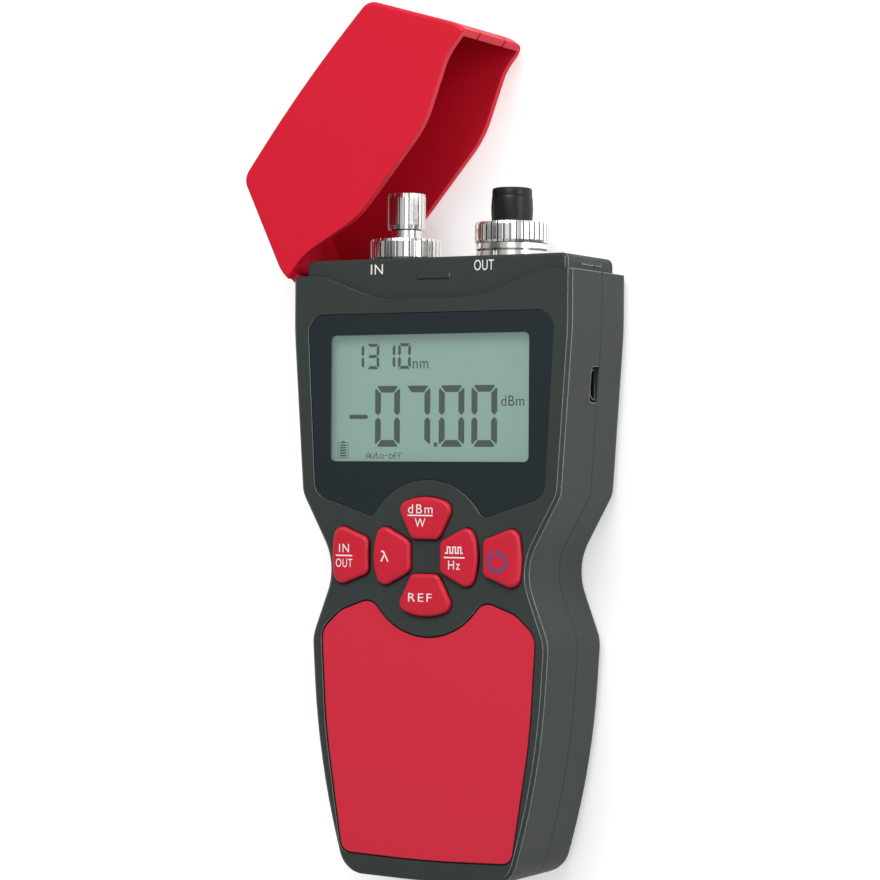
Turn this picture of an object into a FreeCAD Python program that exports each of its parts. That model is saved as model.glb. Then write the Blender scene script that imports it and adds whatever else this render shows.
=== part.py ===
import FreeCAD, Part
import math
import os
import re

# Hand-held optical multimeter: a two-shell case with a flip cap over two fibre ports.
# It lies on its back. X runs to the right as seen from the front, Y along the case towards
# the cap, Z out of the front face. The origin is on the flat back, half way along the case.

V = FreeCAD.Vector
X_AXIS = V(1, 0, 0)
Z_AXIS = V(0, 0, 1)
# Tolerance of the tests that pick edges, in millimetres.
NEAR = 1e-3

# Driving dimensions in millimetres and degrees. A name in _y is a height along the case, one in
# _half a half width; a rise, drop, inset or margin is measured from the size it follows.
SIZES = {
    # Case: outline corners as half widths, heights along Y and corner radii.
    "case_depth": 32.5,
    "front_depth": 16.8,
    "side_wall": 2.2,
    "front_wall": 2.6,
    "back_wall": 2.2,
    "edge_chamfer": 0.9,
    "parting_edge": 0.15,
    "rear_round": 4.2,
    "shoulder_y": 75.0,
    "shoulder_half": 39.4,
    "taper_drop": 14.0,
    "taper_round": 90.0,
    "hip_y": 20.3,
    "hip_half": 36.6,
    "hip_round": 7.0,
    "waist_y": 2.15,
    "waist_half": 26.6,
    "waist_round": 15.0,
    "grip_y": -15.8,
    "grip_half": 33.4,
    "grip_round": 10.0,
    "flank_y": -46.9,
    "flank_half": 31.4,
    "flank_round": 190.0,
    "foot_rise": 0.6,
    "foot_half": 23.6,
    "foot_round": 7.0,
    "base_y": -75.2,
    "base_round": 300.0,
    # Seam between case and cap: a wave that dips in the middle.
    "seam_dip": 6.3,
    "seam_shoulder": 7.9,
    "seam_inner": 14.5,
    "seam_round_high": 15.0,
    "seam_round_low": 26.0,
    # Neck that stands inside the closed cap.
    "neck_rise": 4.0,
    "neck_side_inset": 2.4,
    "neck_face_inset": 2.6,
    "neck_wall": 2.0,
    "neck_round": 3.0,
    "neck_corner": 1.5,
    "neck_edge": 0.6,
    # Lens sheet over the display and the arch cut out of its lower edge.
    "lens_drop": 9.95,
    "lens_inset": 4.5,
    "lens_low_rise": 5.3,
    "lens_taper": 2.5,
    "lens_round": 4.4,
    "lens_toe_half": 15.7,
    "lens_toe_rise": 8.2,
    "lens_toe_round": 1.8,
    "lens_arch_rise": 1.55,
    "lens_arch_radius": 17.5,
    "lens_thickness": 1.5,
    "lens_sink": 0.15,
    "lens_gap": 0.12,
    # Display behind the lens.
    "window_top_margin": 5.25,
    "window_side_margin": 6.9,
    "window_low_margin": 4.4,
    "window_round": 2.0,
    "window_run": 1.4,
    "glass_side_margin": 1.75,
    "glass_end_margin": 2.75,
    "glass_thickness": 2.2,
    "strip_inset": 3.75,
    "strip_depth": 2.0,
    "pack_gap": 0.1,
    # Keys: four in a ring round a centre, one more on each side.
    "ring_y": 4.85,
    "key_inner": 4.2,
    "key_inner_half": 3.8,
    "key_outer": 15.6,
    "key_side": 12.9,
    "key_side_half": 8.25,
    "key_arch_round": 15.5,
    "wing_inner": 16.2,
    "wing_inner_half": 4.4,
    "wing_corner": 25.9,
    "wing_corner_half": 8.1,
    "wing_outer": 26.9,
    "wing_arch_round": 24.0,
    "key_corner_inner": 1.9,
    "key_corner_outer": 2.5,
    "key_rise": 1.5,
    "key_edge": 0.7,
    "key_gap": 0.15,
    "key_flange": 0.35,
    "key_flange_thickness": 1.2,
    "key_rest_gap": 0.1,
    "key_travel": 0.8,
    "key_stem_radius": 1.7,
    "ring_key_radius": 9.9,
    "wing_key_radius": 21.5,
    # Label in its recess below the keys.
    "label_arch_drop": 2.55,
    "label_arch_radius": 17.3,
    "label_peak_half": 15.9,
    "label_peak_drop": 7.9,
    "label_peak_round": 4.0,
    "label_brow_inset": 8.5,
    "label_brow_rise": 6.9,
    "label_brow_round": 6.0,
    "label_grip_inset": 3.0,
    "label_grip_rise": 1.8,
    "label_grip_round": 5.5,
    "label_flank_inset": 2.45,
    "label_flank_rise": 8.4,
    "label_flank_round": 150.0,
    "label_foot_spread": 0.5,
    "label_foot_rise": 0.8,
    "label_foot_round": 3.2,
    "label_margin": 4.9,
    "label_base_round": 300.0,
    "label_thickness": 0.45,
    "label_sink": 0.1,
    "label_gap": 0.15,
    # Main board and its screws.
    "board_drop": 5.7,
    "board_thickness": 1.6,
    "board_gap": 1.0,
    "board_low_y": -36.0,
    "board_high_drop": 13.0,
    "board_post_radius": 2.3,
    "board_post_inset": 6.8,
    "board_post_drop": 9.0,
    "board_foot_inset": 10.4,
    "board_foot_rise": 5.0,
    "board_screw_radius": 1.0,
    "board_screw_head": 1.9,
    "board_screw_head_height": 1.3,
    "board_screw_length": 5.0,
    "screw_gap": 0.05,
    "screw_run": 0.6,
    # Switches under the keys.
    "switch_side": 6.0,
    "switch_height": 3.1,
    "switch_floor_gap": 0.3,
    "switch_well_gap": 0.15,
    "stem_reach": 0.5,
    # Case screws, driven from the back.
    "boss_radius": 3.5,
    "boss_top_inset": 7.1,
    "boss_top_drop": 8.2,
    "boss_low_inset": 2.3,
    "boss_low_rise": 8.7,
    "boss_meet_gap": 0.1,
    "boss_root": 0.4,
    "case_screw_radius": 1.5,
    "case_screw_hold": 7.8,
    "case_screw_head": 2.7,
    "case_screw_head_height": 1.9,
    "case_screw_seat": 5.5,
    "case_screw_recess": 3.0,
    # Battery in the back shell.
    "battery_width": 34.0,
    "battery_length": 52.0,
    "battery_thickness": 8.0,
    "battery_round": 2.0,
    "battery_y": -30.0,
    "battery_rib_height": 6.0,
    "battery_rib_thickness": 1.2,
    "battery_rib_gap": 0.4,
    "pad_thickness": 0.8,
    # Charging socket in the right side.
    "slot_drop": 27.65,
    "slot_length": 8.8,
    "slot_height": 4.1,
    "slot_chamfer": 0.8,
    "socket_width": 7.6,
    "socket_depth": 5.6,
    "socket_height": 2.7,
    "socket_wall": 0.35,
    "socket_sink": 0.56,
    "socket_corner": 1.1,
    "socket_round": 0.2,
    "tongue_half": 2.1,
    "tongue_length": 3.9,
    "charge_board_width": 15.0,
    "charge_board_length": 18.0,
    "charge_board_thickness": 1.0,
    "charge_board_gap": 1.25,
    "charge_post_radius": 1.8,
    "charge_post_inset": 3.0,
    # Fibre ports on top of the neck.
    "port_x": 15.2,
    "port_rise": 1.05,
    "barrel_radius": 5.9,
    "barrel_gap": 0.1,
    "port_flange_radius": 7.8,
    "port_flange_thickness": 2.0,
    "bore_gap": 0.06,
    "knurl_count": 36,
    "knurl_depth": 0.32,
    "knurl_bevel": 0.5,
    "knurl_land": 0.44,
    "meter_ring_radius": 9.2,
    "meter_ring_length": 5.4,
    "meter_collar_radius": 3.95,
    "meter_collar_length": 2.5,
    "meter_nozzle_radius": 3.55,
    "meter_nozzle_length": 7.0,
    "meter_cap_radius": 4.95,
    "meter_cap_roof": 1.8,
    "meter_cap_knurls": 24,
    "meter_cap_knurl_depth": 0.26,
    "fibre_bore_radius": 1.26,
    "barrel_end_gap": 0.2,
    "adaptor_roof": 1.3,
    "lock_ring_radius": 8.95,
    "lock_ring_length": 3.3,
    "lock_ring_groove": 0.35,
    "lock_ring_slot": 1.1,
    "source_ring_radius": 9.25,
    "source_ring_length": 5.3,
    "source_nozzle_radius": 4.0,
    "source_nozzle_bore": 2.3,
    "source_nozzle_length": 6.8,
    "ferrule_radius": 1.25,
    "ferrule_sink": 1.0,
    "source_cap_radius": 5.25,
    "source_cap_waist": 5.0,
    "source_cap_roof": 1.5,
    "source_cap_edge": 0.5,
    "source_cap_taper": 2.4,
    "seat_gap": 0.1,
    "cap_end_gap": 0.4,
    "detector_radius": 4.6,
    "detector_length": 6.0,
    "detector_pins": 3.0,
    "detector_pin_radius": 0.3,
    "laser_radius": 3.4,
    "laser_neck": 2.7,
    "laser_length": 14.0,
    # Flip cap.
    "cap_wall": 1.9,
    "cut_run": 1.0,
    "cap_rim_gap": 0.25,
    "cap_knee_rise": 2.8,
    "cap_knee_round": 11.0,
    "cap_top_inset": 11.0,
    "cap_top_round": 4.2,
    "cap_room": 5.7,
    "cap_crown_rise": 1.6,
    "cap_crown_flat": 8.7,
    "cap_floor_gap": 0.4,
    "cap_front_round": 1.0,
    "cap_rear_round": 3.8,
    "cap_open_angle": 49.5,
    "catch_width": 11.0,
    "catch_lift": 1.9,
    "catch_height": 1.2,
    "catch_rise": 0.35,
    "catch_slit": 0.7,
    "catch_slit_length": 8.0,
    "nub_drop": 0.7,
    "nub_width": 9.4,
    # Hinge on the left side of the case.
    "hinge_offset": 0.4,
    "hinge_drop": 2.4,
    "hinge_radius": 2.0,
    "hinge_pin_radius": 0.9,
    "hinge_pin_gap": 0.04,
    "hinge_press_gap": 0.01,
    "hinge_inset": 5.5,
    "hinge_knuckle": 3.4,
    "hinge_side_gap": 0.2,
    "hinge_leaf_inset": 2.1,
    "hinge_notch": 2.5,
    "hinge_block": 2.4,
}

# Places and sizes that follow from the driving dimensions.
PLACES = {
    # Case, seam and neck
    "split_height": "case_depth - front_depth",
    "taper_y": "shoulder_y - taper_drop",
    "foot_y": "base_y + foot_rise",
    "neck_top_y": "shoulder_y + neck_rise",
    "seam_outer": "shoulder_half - seam_shoulder",
    # Lens and display
    "lens_top_y": "shoulder_y - lens_drop",
    "lens_top_half": "shoulder_half - lens_inset",
    "lens_low_half": "lens_top_half - lens_taper",
    "lens_arch_y": "ring_y + lens_arch_rise",
    "lens_toe_y": "lens_arch_y + lens_toe_rise",
    "lens_low_y": "lens_toe_y + lens_low_rise",
    "window_width": "2 * (lens_top_half - window_side_margin)",
    "window_height": "lens_top_y - window_top_margin - lens_arch_y - lens_arch_radius - window_low_margin",
    "window_y": "lens_top_y - window_top_margin - window_height / 2",
    "glass_width": "window_width + 2 * glass_side_margin",
    "glass_height": "window_height + 2 * glass_end_margin",
    "strip_width": "glass_width - 2 * strip_inset",
    # Label
    "label_arch_y": "ring_y - label_arch_drop",
    "label_peak_y": "label_arch_y - label_peak_drop",
    "label_brow_half": "grip_half - label_brow_inset",
    "label_brow_y": "grip_y + label_brow_rise",
    "label_grip_half": "grip_half - label_grip_inset",
    "label_grip_y": "grip_y + label_grip_rise",
    "label_flank_half": "flank_half - label_flank_inset",
    "label_flank_y": "flank_y + label_flank_rise",
    "label_base_y": "base_y + label_margin",
    "label_foot_half": "foot_half + label_foot_spread",
    "label_foot_y": "label_base_y + label_foot_rise",
    # Board, bosses and screws
    "board_top": "case_depth - front_wall - board_drop",
    "board_high_y": "shoulder_y - board_high_drop",
    "board_post_x": "shoulder_half - board_post_inset",
    "board_post_y": "board_high_y - board_post_drop",
    "board_foot_x": "flank_half - board_foot_inset",
    "board_foot_y": "board_low_y + board_foot_rise",
    "boss_top_x": "shoulder_half - boss_top_inset",
    "boss_top_y": "shoulder_y - boss_top_drop",
    "boss_low_x": "foot_half - boss_low_inset",
    "boss_low_y": "base_y + boss_low_rise",
    "case_screw_length": "split_height - case_screw_seat + case_screw_hold",
    # Charging slot, on the line of the case's side between hip and taper
    "slot_y": "shoulder_y - slot_drop",
    "slot_half": "hip_half + (shoulder_half - hip_half) * (slot_y - hip_y) / (taper_y - hip_y)",
    "socket_mouth": "slot_half - socket_sink",
    "charge_board_x": "slot_half - side_wall - charge_board_gap - charge_board_width",
    # Fittings on the ports, one after the other
    "port_z": "case_depth / 2 + port_rise",
    "port_foot": "neck_top_y + seat_gap",
    "meter_ring_top": "port_foot + meter_ring_length",
    "meter_collar_top": "meter_ring_top + meter_collar_length",
    "meter_nozzle_top": "meter_collar_top + meter_nozzle_length",
    "meter_cap_foot": "meter_collar_top + seat_gap",
    "meter_cap_top": "meter_nozzle_top + cap_end_gap + meter_cap_roof",
    "lock_ring_top": "port_foot + lock_ring_length",
    "source_ring_foot": "lock_ring_top + seat_gap",
    "source_ring_top": "source_ring_foot + source_ring_length",
    "source_nozzle_top": "source_ring_top + source_nozzle_length",
    "source_cap_foot": "source_ring_top + seat_gap",
    "source_cap_top": "source_nozzle_top + cap_end_gap + source_cap_roof",
    "ferrule_top": "source_nozzle_top - ferrule_sink",
    # Flip cap, catch and hinge
    "cap_knee_y": "shoulder_y + cap_knee_rise",
    "cap_top_half": "shoulder_half - cap_top_inset",
    "cap_crown_y": "source_cap_top + cap_room + cap_wall",
    "cap_crown_round": "cap_top_half * (cap_top_half - cap_crown_flat) / cap_crown_rise",
    "cap_top_corner_y": "cap_crown_y - cap_crown_rise",
    "catch_y": "shoulder_y + catch_lift",
    "nub_y": "shoulder_y - nub_drop",
    "hinge_x": "-shoulder_half - hinge_offset",
    "hinge_y": "shoulder_y - hinge_drop",
}

doc = FreeCAD.newDocument("optical_multimeter")


def bound(text):
    """Expression text with each name taken from its sheet."""
    return re.sub(r"[a-z][a-z_]+",
                  lambda word: ("Sizes." if word.group(0) in SIZES else "Places.") + word.group(0), text)


def fill(name, cells):
    """A sheet with one alias a row."""
    sheet = doc.addObject("Spreadsheet::Sheet", name)
    for row, (alias, value) in enumerate(cells.items(), start=1):
        sheet.set(f"A{row}", alias.replace("_", " "))
        sheet.set(f"B{row}", value)
        sheet.setAlias(f"B{row}", alias)
    doc.recompute()
    return sheet


class Values:
    """The sheets' values, read back under their aliases."""


sizes_sheet = fill("Sizes", {alias: str(value) for alias, value in SIZES.items()})
formulas = {alias: "=" + bound(text).replace("Places.", "") for alias, text in PLACES.items()}
places_sheet = fill("Places", formulas)
s = Values()
for sheet, aliases in ((sizes_sheet, SIZES), (places_sheet, PLACES)):
    for alias in aliases:
        setattr(s, alias, float(sheet.get(alias)))


# Plane loops

def corner_loop(corners):
    """Closed loop of lines and tangent arcs through corners given as (x, y, radius)."""
    stops = []
    for index, (x, y, radius) in enumerate(corners):
        corner = V(x, y, 0)
        last = corners[index - 1]
        following = corners[(index + 1) % len(corners)]
        back = (V(last[0], last[1], 0) - corner).normalize()
        ahead = (V(following[0], following[1], 0) - corner).normalize()
        half = back.getAngle(ahead) / 2
        reach = radius / math.tan(half)
        middle = corner
        if radius:
            middle += (back + ahead).normalize() * (radius / math.sin(half) - radius)
        stops.append((corner + back * reach, middle, corner + ahead * reach, radius))
    loop = []
    for index, (start, middle, end, radius) in enumerate(stops):
        if radius:
            loop.append(Part.Arc(start, middle, end))
        following = stops[(index + 1) % len(stops)][0]
        if end.distanceToPoint(following) > 1e-6:
            loop.append(Part.LineSegment(end, following))
    return loop


def both_sides(right):
    """Corners of the right side, bottom first, joined by their mirror image."""
    left = [(-x, y, radius) for x, y, radius in reversed(right) if x]
    return right + left


def rectangle(x0, y0, x1, y1, radius=0.0):
    return corner_loop([(x0, y0, radius), (x1, y0, radius), (x1, y1, radius), (x0, y1, radius)])


def circle(radius, x=0.0, y=0.0):
    return [Part.Circle(V(x, y, 0), Z_AXIS, radius)]


def wire_of(loop):
    return Part.Wire(Part.__sortEdges__([piece.toShape() for piece in loop]))


def loop_of(wire):
    """Sketch geometry from the edges of a wire of lines and arcs."""
    loop = []
    for edge in wire.Edges:
        first, last = edge.ParameterRange
        start = edge.valueAt(first)
        end = edge.valueAt(last)
        if isinstance(edge.Curve, Part.Line):
            loop.append(Part.LineSegment(start, end))
        else:
            loop.append(Part.Arc(start, edge.valueAt((first + last) / 2), end))
    return loop


def grown(loop, distance):
    """The loop moved outwards, or inwards where the distance is negative."""
    return loop_of(wire_of(loop).makeOffset2D(distance, 2))


def within(loop, x0, y0, x1, y1):
    """The part of a loop that lies inside a rectangle."""
    face = Part.Face(wire_of(loop)).common(Part.Face(wire_of(rectangle(x0, y0, x1, y1))))
    return loop_of(face.Faces[0].OuterWire)


def turned_corners(corners, quarter_turns):
    """Corners turned about the ring's centre by quarter turns, anticlockwise."""
    cosine = round(math.cos(quarter_turns * math.pi / 2))
    sine = round(math.sin(quarter_turns * math.pi / 2))
    return [(cosine * x - sine * y, sine * x + cosine * y + s.ring_y, radius) for x, y, radius in corners]


# Building blocks

def start_body(label):
    body = doc.addObject("PartDesign::Body", label)
    body.Label = label
    return body


def origin_plane(body, role):
    return next(item for item in body.Origin.OriginFeatures if item.Role == role)


def sketch(body, name, loops, height="0", plane="XY_Plane"):
    """A sketch on one of the body's own planes, at a height bound to the sheet."""
    drawn = body.newObject("Sketcher::SketchObject", name)
    drawn.AttachmentSupport = [(origin_plane(body, plane), "")]
    drawn.MapMode = "FlatFace"
    drawn.setExpression("AttachmentOffset.Base.z", bound(height))
    drawn.addGeometry(loops, False)
    return drawn


def pad(body, name, loops, height, length):
    """Material from a height upwards."""
    made = body.newObject("PartDesign::Pad", name)
    made.Profile = sketch(body, name + "_sketch", loops, height)
    made.setExpression("Length", bound(length))
    doc.recompute()
    return made


def volume_of(body):
    return body.Shape.Volume


def pocket(body, name, loops, height, length, plane="XY_Plane"):
    """A cut along the plane's normal from a height on; it has to take some material."""
    before = volume_of(body)
    made = body.newObject("PartDesign::Pocket", name)
    made.Profile = sketch(body, name + "_sketch", loops, height, plane)
    made.Reversed = True
    made.setExpression("Length", bound(length))
    doc.recompute()
    if volume_of(body) > before - NEAR:
        raise RuntimeError(name + " cut nothing")
    return made


def revolve(body, name, corners, cut=False):
    """A profile of (radius, height, corner radius) turned about the body's Z axis."""
    before = volume_of(body) if cut else 0
    made = body.newObject("PartDesign::Groove" if cut else "PartDesign::Revolution", name)
    drawn = sketch(body, name + "_sketch", corner_loop(corners), plane="XZ_Plane")
    made.Profile = drawn
    made.ReferenceAxis = (drawn, ["V_Axis"])
    made.Angle = 360
    doc.recompute()
    if cut and volume_of(body) > before - NEAR:
        raise RuntimeError(name + " cut nothing")
    return made


def edge_names(shape, wanted):
    return [f"Edge{number}" for number, edge in enumerate(shape.Edges, start=1) if wanted(edge)]


def dress(body, kind, name, wanted, size):
    """A fillet or chamfer on the edges that a test picks."""
    base = body.Tip
    made = body.newObject("PartDesign::" + kind, name)
    made.Base = (base, edge_names(base.Shape, wanted))
    made.setExpression("Radius" if kind == "Fillet" else "Size", bound(size))
    doc.recompute()
    return made


def level(edge, height):
    """True for an edge that lies wholly at one height."""
    return all(abs(z - height) < NEAR for z in (edge.BoundBox.ZMin, edge.BoundBox.ZMax))


def box(label, size, base):
    """A block whose three sizes and corner are bound to the sheet."""
    made = doc.addObject("Part::Box", label)
    made.Label = label
    for side, text in zip(("Length", "Width", "Height"), size):
        made.setExpression(side, bound(text))
    for axis, text in zip("xyz", base):
        made.setExpression("Placement.Base." + axis, bound(text))
    return made


def place_on_port(body, side):
    """Turns the body's Z axis along the case and moves it to one of the two ports."""
    body.Placement = FreeCAD.Placement(V(side * s.port_x, 0, s.port_z), FreeCAD.Rotation(X_AXIS, -90))
    body.setExpression("Placement.Base.x", bound(("" if side > 0 else "-") + "port_x"))
    body.setExpression("Placement.Base.z", bound("port_z"))


def group(label, shapes):
    """Separate like solids that share one node."""
    made = doc.addObject("Part::Feature", label)
    made.Label = label
    made.Shape = Part.makeCompound(shapes)
    return made


# Outlines that several pieces share

def seam_corners(drop):
    """Right half of the wave between case and cap, lowered by a drop, from the side inwards."""
    return [
        (s.seam_outer, s.shoulder_y - drop, s.seam_round_high),
        (s.seam_inner, s.shoulder_y - s.seam_dip - drop, s.seam_round_low),
    ]


def case_outline():
    right = [
        (0, s.base_y, s.base_round),
        (s.foot_half, s.foot_y, s.foot_round),
        (s.flank_half, s.flank_y, s.flank_round),
        (s.grip_half, s.grip_y, s.grip_round),
        (s.waist_half, s.waist_y, s.waist_round),
        (s.hip_half, s.hip_y, s.hip_round),
        (s.shoulder_half, s.taper_y, s.taper_round),
        (s.shoulder_half, s.shoulder_y, 0),
    ]
    return corner_loop(both_sides(right + seam_corners(0)))


def arch_corner(arch_y, radius, toe, above):
    """Corner whose rounding is the arch, from its crown to the tangent that leads to the toe."""
    side = 1 if above else -1
    across = toe[0]
    along = side * (toe[1] - arch_y)
    spread = math.atan2(across, along) - math.acos(radius / math.hypot(across, along))
    return (radius * math.tan(spread / 2), arch_y + side * radius, radius)


def lens_outline():
    toe = (s.lens_toe_half, s.lens_toe_y, s.lens_toe_round)
    right = [
        arch_corner(s.lens_arch_y, s.lens_arch_radius, toe, True),
        toe,
        (s.lens_low_half, s.lens_low_y, s.lens_round),
        (s.lens_top_half, s.lens_top_y, s.lens_round),
    ]
    return corner_loop(both_sides(right))


def label_outline():
    peak = (s.label_peak_half, s.label_peak_y, s.label_peak_round)
    right = [
        (0, s.label_base_y, s.label_base_round),
        (s.label_foot_half, s.label_foot_y, s.label_foot_round),
        (s.label_flank_half, s.label_flank_y, s.label_flank_round),
        (s.label_grip_half, s.label_grip_y, s.label_grip_round),
        (s.label_brow_half, s.label_brow_y, s.label_brow_round),
        peak,
        arch_corner(s.label_arch_y, s.label_arch_radius, peak, False),
    ]
    return corner_loop(both_sides(right))


RING_KEY = both_sides([
    (s.key_inner_half, s.key_inner, s.key_corner_inner),
    (s.key_side_half, s.key_side, s.key_corner_outer),
    (0, s.key_outer, s.key_arch_round),
])
WING_KEY = [
    (s.wing_inner_half, s.wing_inner, s.key_corner_inner),
    (s.wing_corner_half, s.wing_corner, s.key_corner_outer),
    (0, s.wing_outer, s.wing_arch_round),
    (-s.wing_corner_half, s.wing_corner, s.key_corner_outer),
    (-s.wing_inner_half, s.wing_inner, s.key_corner_inner),
]
# Node name, outline, quarter turns from the top place, and distance of the stem from the centre.
KEYS = [
    ("key_unit", RING_KEY, 0, "ring_key_radius"),
    ("key_wavelength", RING_KEY, 1, "ring_key_radius"),
    ("key_reference", RING_KEY, 2, "ring_key_radius"),
    ("key_modulation", RING_KEY, 3, "ring_key_radius"),
    ("key_mode", WING_KEY, 1, "wing_key_radius"),
    ("key_power", WING_KEY, 3, "wing_key_radius"),
]


def key_loop(outline, quarter_turns):
    return corner_loop(turned_corners(outline, quarter_turns))


def stem_place(quarter_turns, radius):
    angle = math.radians(90 * (quarter_turns + 1))
    return radius * math.cos(angle), s.ring_y + radius * math.sin(angle)


def in_pairs(places):
    """Each place followed by its mirror image."""
    return [(side * x, y) for x, y in places for side in (1, -1)]


BOSSES = in_pairs([(s.boss_top_x, s.boss_top_y), (s.boss_low_x, s.boss_low_y)])
POSTS = in_pairs([(s.board_post_x, s.board_post_y), (s.board_foot_x, s.board_foot_y)])
NECK_FOOT = s.lens_top_y - s.side_wall


def neck_loop(inset=0.0):
    """Neck seen from the front; it runs down into the case, well below the seam."""
    half = s.shoulder_half - s.neck_side_inset - inset
    top = (half, s.neck_top_y - inset, max(s.neck_corner - inset, 0))
    return corner_loop(both_sides([(half, NECK_FOOT, 0), top]))


def above_foot(edge):
    """True for an edge of the neck that isn't its buried bottom edge."""
    return edge.BoundBox.YMax > NECK_FOOT + NEAR


def circles(places, radius):
    return [ring for x, y in places for ring in circle(radius, x, y)]


def knuckle_loop(radius):
    """A hinge barrel with the web that ties it to the case, seen from the front."""
    inner = s.hinge_x + s.hinge_notch + s.hinge_block / 2
    top = V(s.hinge_x, s.hinge_y + radius, 0)
    outer = V(s.hinge_x - radius, s.hinge_y, 0)
    bottom = V(s.hinge_x, s.hinge_y - radius, 0)
    return [
        Part.Arc(top, outer, bottom),
        Part.LineSegment(bottom, V(inner, s.hinge_y - radius, 0)),
        Part.LineSegment(V(inner, s.hinge_y - radius, 0), V(inner, s.hinge_y + radius, 0)),
        Part.LineSegment(V(inner, s.hinge_y + radius, 0), top),
    ]


# Case shells

def add_hinge(body, foot, top, knuckle):
    """Block inside the wall, notch for the cap's leaf, and one knuckle with its pin hole."""
    wall_in = s.hinge_x + s.hinge_notch
    inner = wall_in + s.hinge_block
    low = s.hinge_y - s.hinge_notch
    block = rectangle(wall_in - s.hinge_block / 2, low - s.side_wall, inner, s.shoulder_y - s.side_wall / 2)
    pad(body, "hinge_block", block, foot, top)
    notch = rectangle(s.hinge_x - s.hinge_notch, low, wall_in, s.shoulder_y + s.side_wall)
    pocket(body, "hinge_notch", notch, *knuckle["notch"])
    pad(body, "hinge_knuckle", knuckle_loop(s.hinge_radius), *knuckle["span"])
    hole = circle(s.hinge_pin_radius + s.hinge_press_gap, s.hinge_x, s.hinge_y)
    pocket(body, "hinge_pin_hole", hole, *knuckle["span"])


def add_port_holes(body):
    """Round openings for the two port barrels through the neck's top wall."""
    places = [(side * s.port_x, s.port_z) for side in (-1, 1)]
    pocket(body, "port_holes", circles(places, s.barrel_radius + s.barrel_gap),
           "-neck_top_y - neck_wall / 2", "2 * neck_wall", "XZ_Plane")


def make_front_shell():
    body = start_body("front_shell")
    case = case_outline()
    pad(body, "neck", neck_loop(), "split_height", "case_depth - neck_face_inset - split_height")
    neck_face = s.case_depth - s.neck_face_inset
    dress(body, "Chamfer", "neck_chamfer",
          lambda edge: level(edge, neck_face) and above_foot(edge), "neck_edge")
    pad(body, "case", case, "split_height", "case_depth - split_height")
    dress(body, "Chamfer", "front_edge",
          lambda edge: level(edge, s.case_depth) and not on_seam(edge), "edge_chamfer")
    dress(body, "Chamfer", "parting_edge", lambda edge: level(edge, s.split_height) and on_flank(edge),
          "parting_edge")
    pocket(body, "case_cavity", grown(case, -s.side_wall), "split_height",
           "case_depth - front_wall - split_height")
    pocket(body, "neck_cavity", neck_loop(s.neck_wall), "split_height",
           "case_depth - neck_face_inset - neck_wall - split_height")
    add_hinge(body, "split_height", "case_depth - hinge_leaf_inset - split_height", {
        "notch": ("split_height", "case_depth - hinge_leaf_inset - split_height"),
        "span": ("case_depth - hinge_inset - hinge_knuckle", "hinge_knuckle"),
    })
    pad(body, "catch", catch_loop(), "split_height", "port_z + catch_width / 2 - split_height")
    nub = rectangle(-s.nub_width / 2, s.nub_y - s.catch_height / 2,
                    s.nub_width / 2, s.nub_y + s.catch_height / 2, s.catch_height / 3)
    pad(body, "nub", nub, "case_depth - neck_face_inset - neck_wall / 2", "neck_wall / 2 + catch_rise")
    add_port_holes(body)
    add_charging_slot(body)
    pad(body, "bosses", circles(BOSSES, s.boss_radius), "split_height + boss_meet_gap",
        "case_depth - front_wall + boss_root - split_height - boss_meet_gap")
    pocket(body, "boss_holes", circles(BOSSES, s.case_screw_radius + s.screw_gap),
           "split_height", "case_screw_seat + case_screw_length + screw_run - split_height")
    pad(body, "board_posts", circles(POSTS, s.board_post_radius), "board_top",
        "case_depth - front_wall + boss_root - board_top")
    pocket(body, "post_holes", circles(POSTS, s.board_screw_radius + s.screw_gap), "board_top",
           "board_screw_length - board_thickness + screw_run")
    cut_front(body)
    return body


def add_charging_slot(body):
    """Opening in the right side for the charging plug, its two upper corners cut off."""
    slot = rectangle(s.slot_half - 2 * s.side_wall, s.slot_y - s.slot_length / 2,
                     s.slot_half + s.side_wall, s.slot_y + s.slot_length / 2)
    pocket(body, "charging_slot", slot, "split_height", "slot_height")
    top = s.split_height + s.slot_height

    def is_corner(edge):
        reach = edge.BoundBox
        across = reach.XLength > s.side_wall / 2 and reach.YLength < NEAR
        return level(edge, top) and across and reach.XMin > 0

    dress(body, "Chamfer", "slot_corners", is_corner, "slot_chamfer")


def cut_front(body):
    """Seats for the lens and the label, the display's window and the holes for the keys."""
    pocket(body, "lens_seat", grown(lens_outline(), s.lens_gap),
           "case_depth - lens_thickness - lens_sink", "lens_thickness + lens_sink")
    half_width = s.window_width / 2 + s.window_run
    half_height = s.window_height / 2 + s.window_run
    opening = rectangle(-half_width, s.window_y - half_height, half_width, s.window_y + half_height,
                        s.window_round)
    pocket(body, "display_window", opening, "case_depth - front_wall", "front_wall")
    pocket(body, "label_seat", grown(label_outline(), s.label_gap),
           "case_depth - label_thickness - label_sink", "label_thickness + label_sink")
    loops = [(outline, key_loop(outline, turns)) for _, outline, turns, _ in KEYS]
    holes = [piece for _, loop in loops for piece in grown(loop, s.key_gap)]
    pocket(body, "key_holes", holes, "case_depth - front_wall", "front_wall")
    wells = [piece for outline, loop in loops if outline is WING_KEY
             for piece in grown(loop, s.key_flange + s.key_gap)]
    pocket(body, "key_wells", wells, "board_top", "case_depth - front_wall - board_top")


def on_seam(edge):
    """True for an edge of the wave between case and cap."""
    reach = edge.BoundBox
    return reach.YMin > s.shoulder_y - s.seam_dip - NEAR and abs(reach.Center.x) < s.shoulder_half - NEAR


def on_flank(edge):
    """True for an outer edge of the case below its shoulder."""
    return edge.BoundBox.YMin < s.taper_y - NEAR or abs(edge.BoundBox.Center.x) > s.shoulder_half - NEAR


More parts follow.
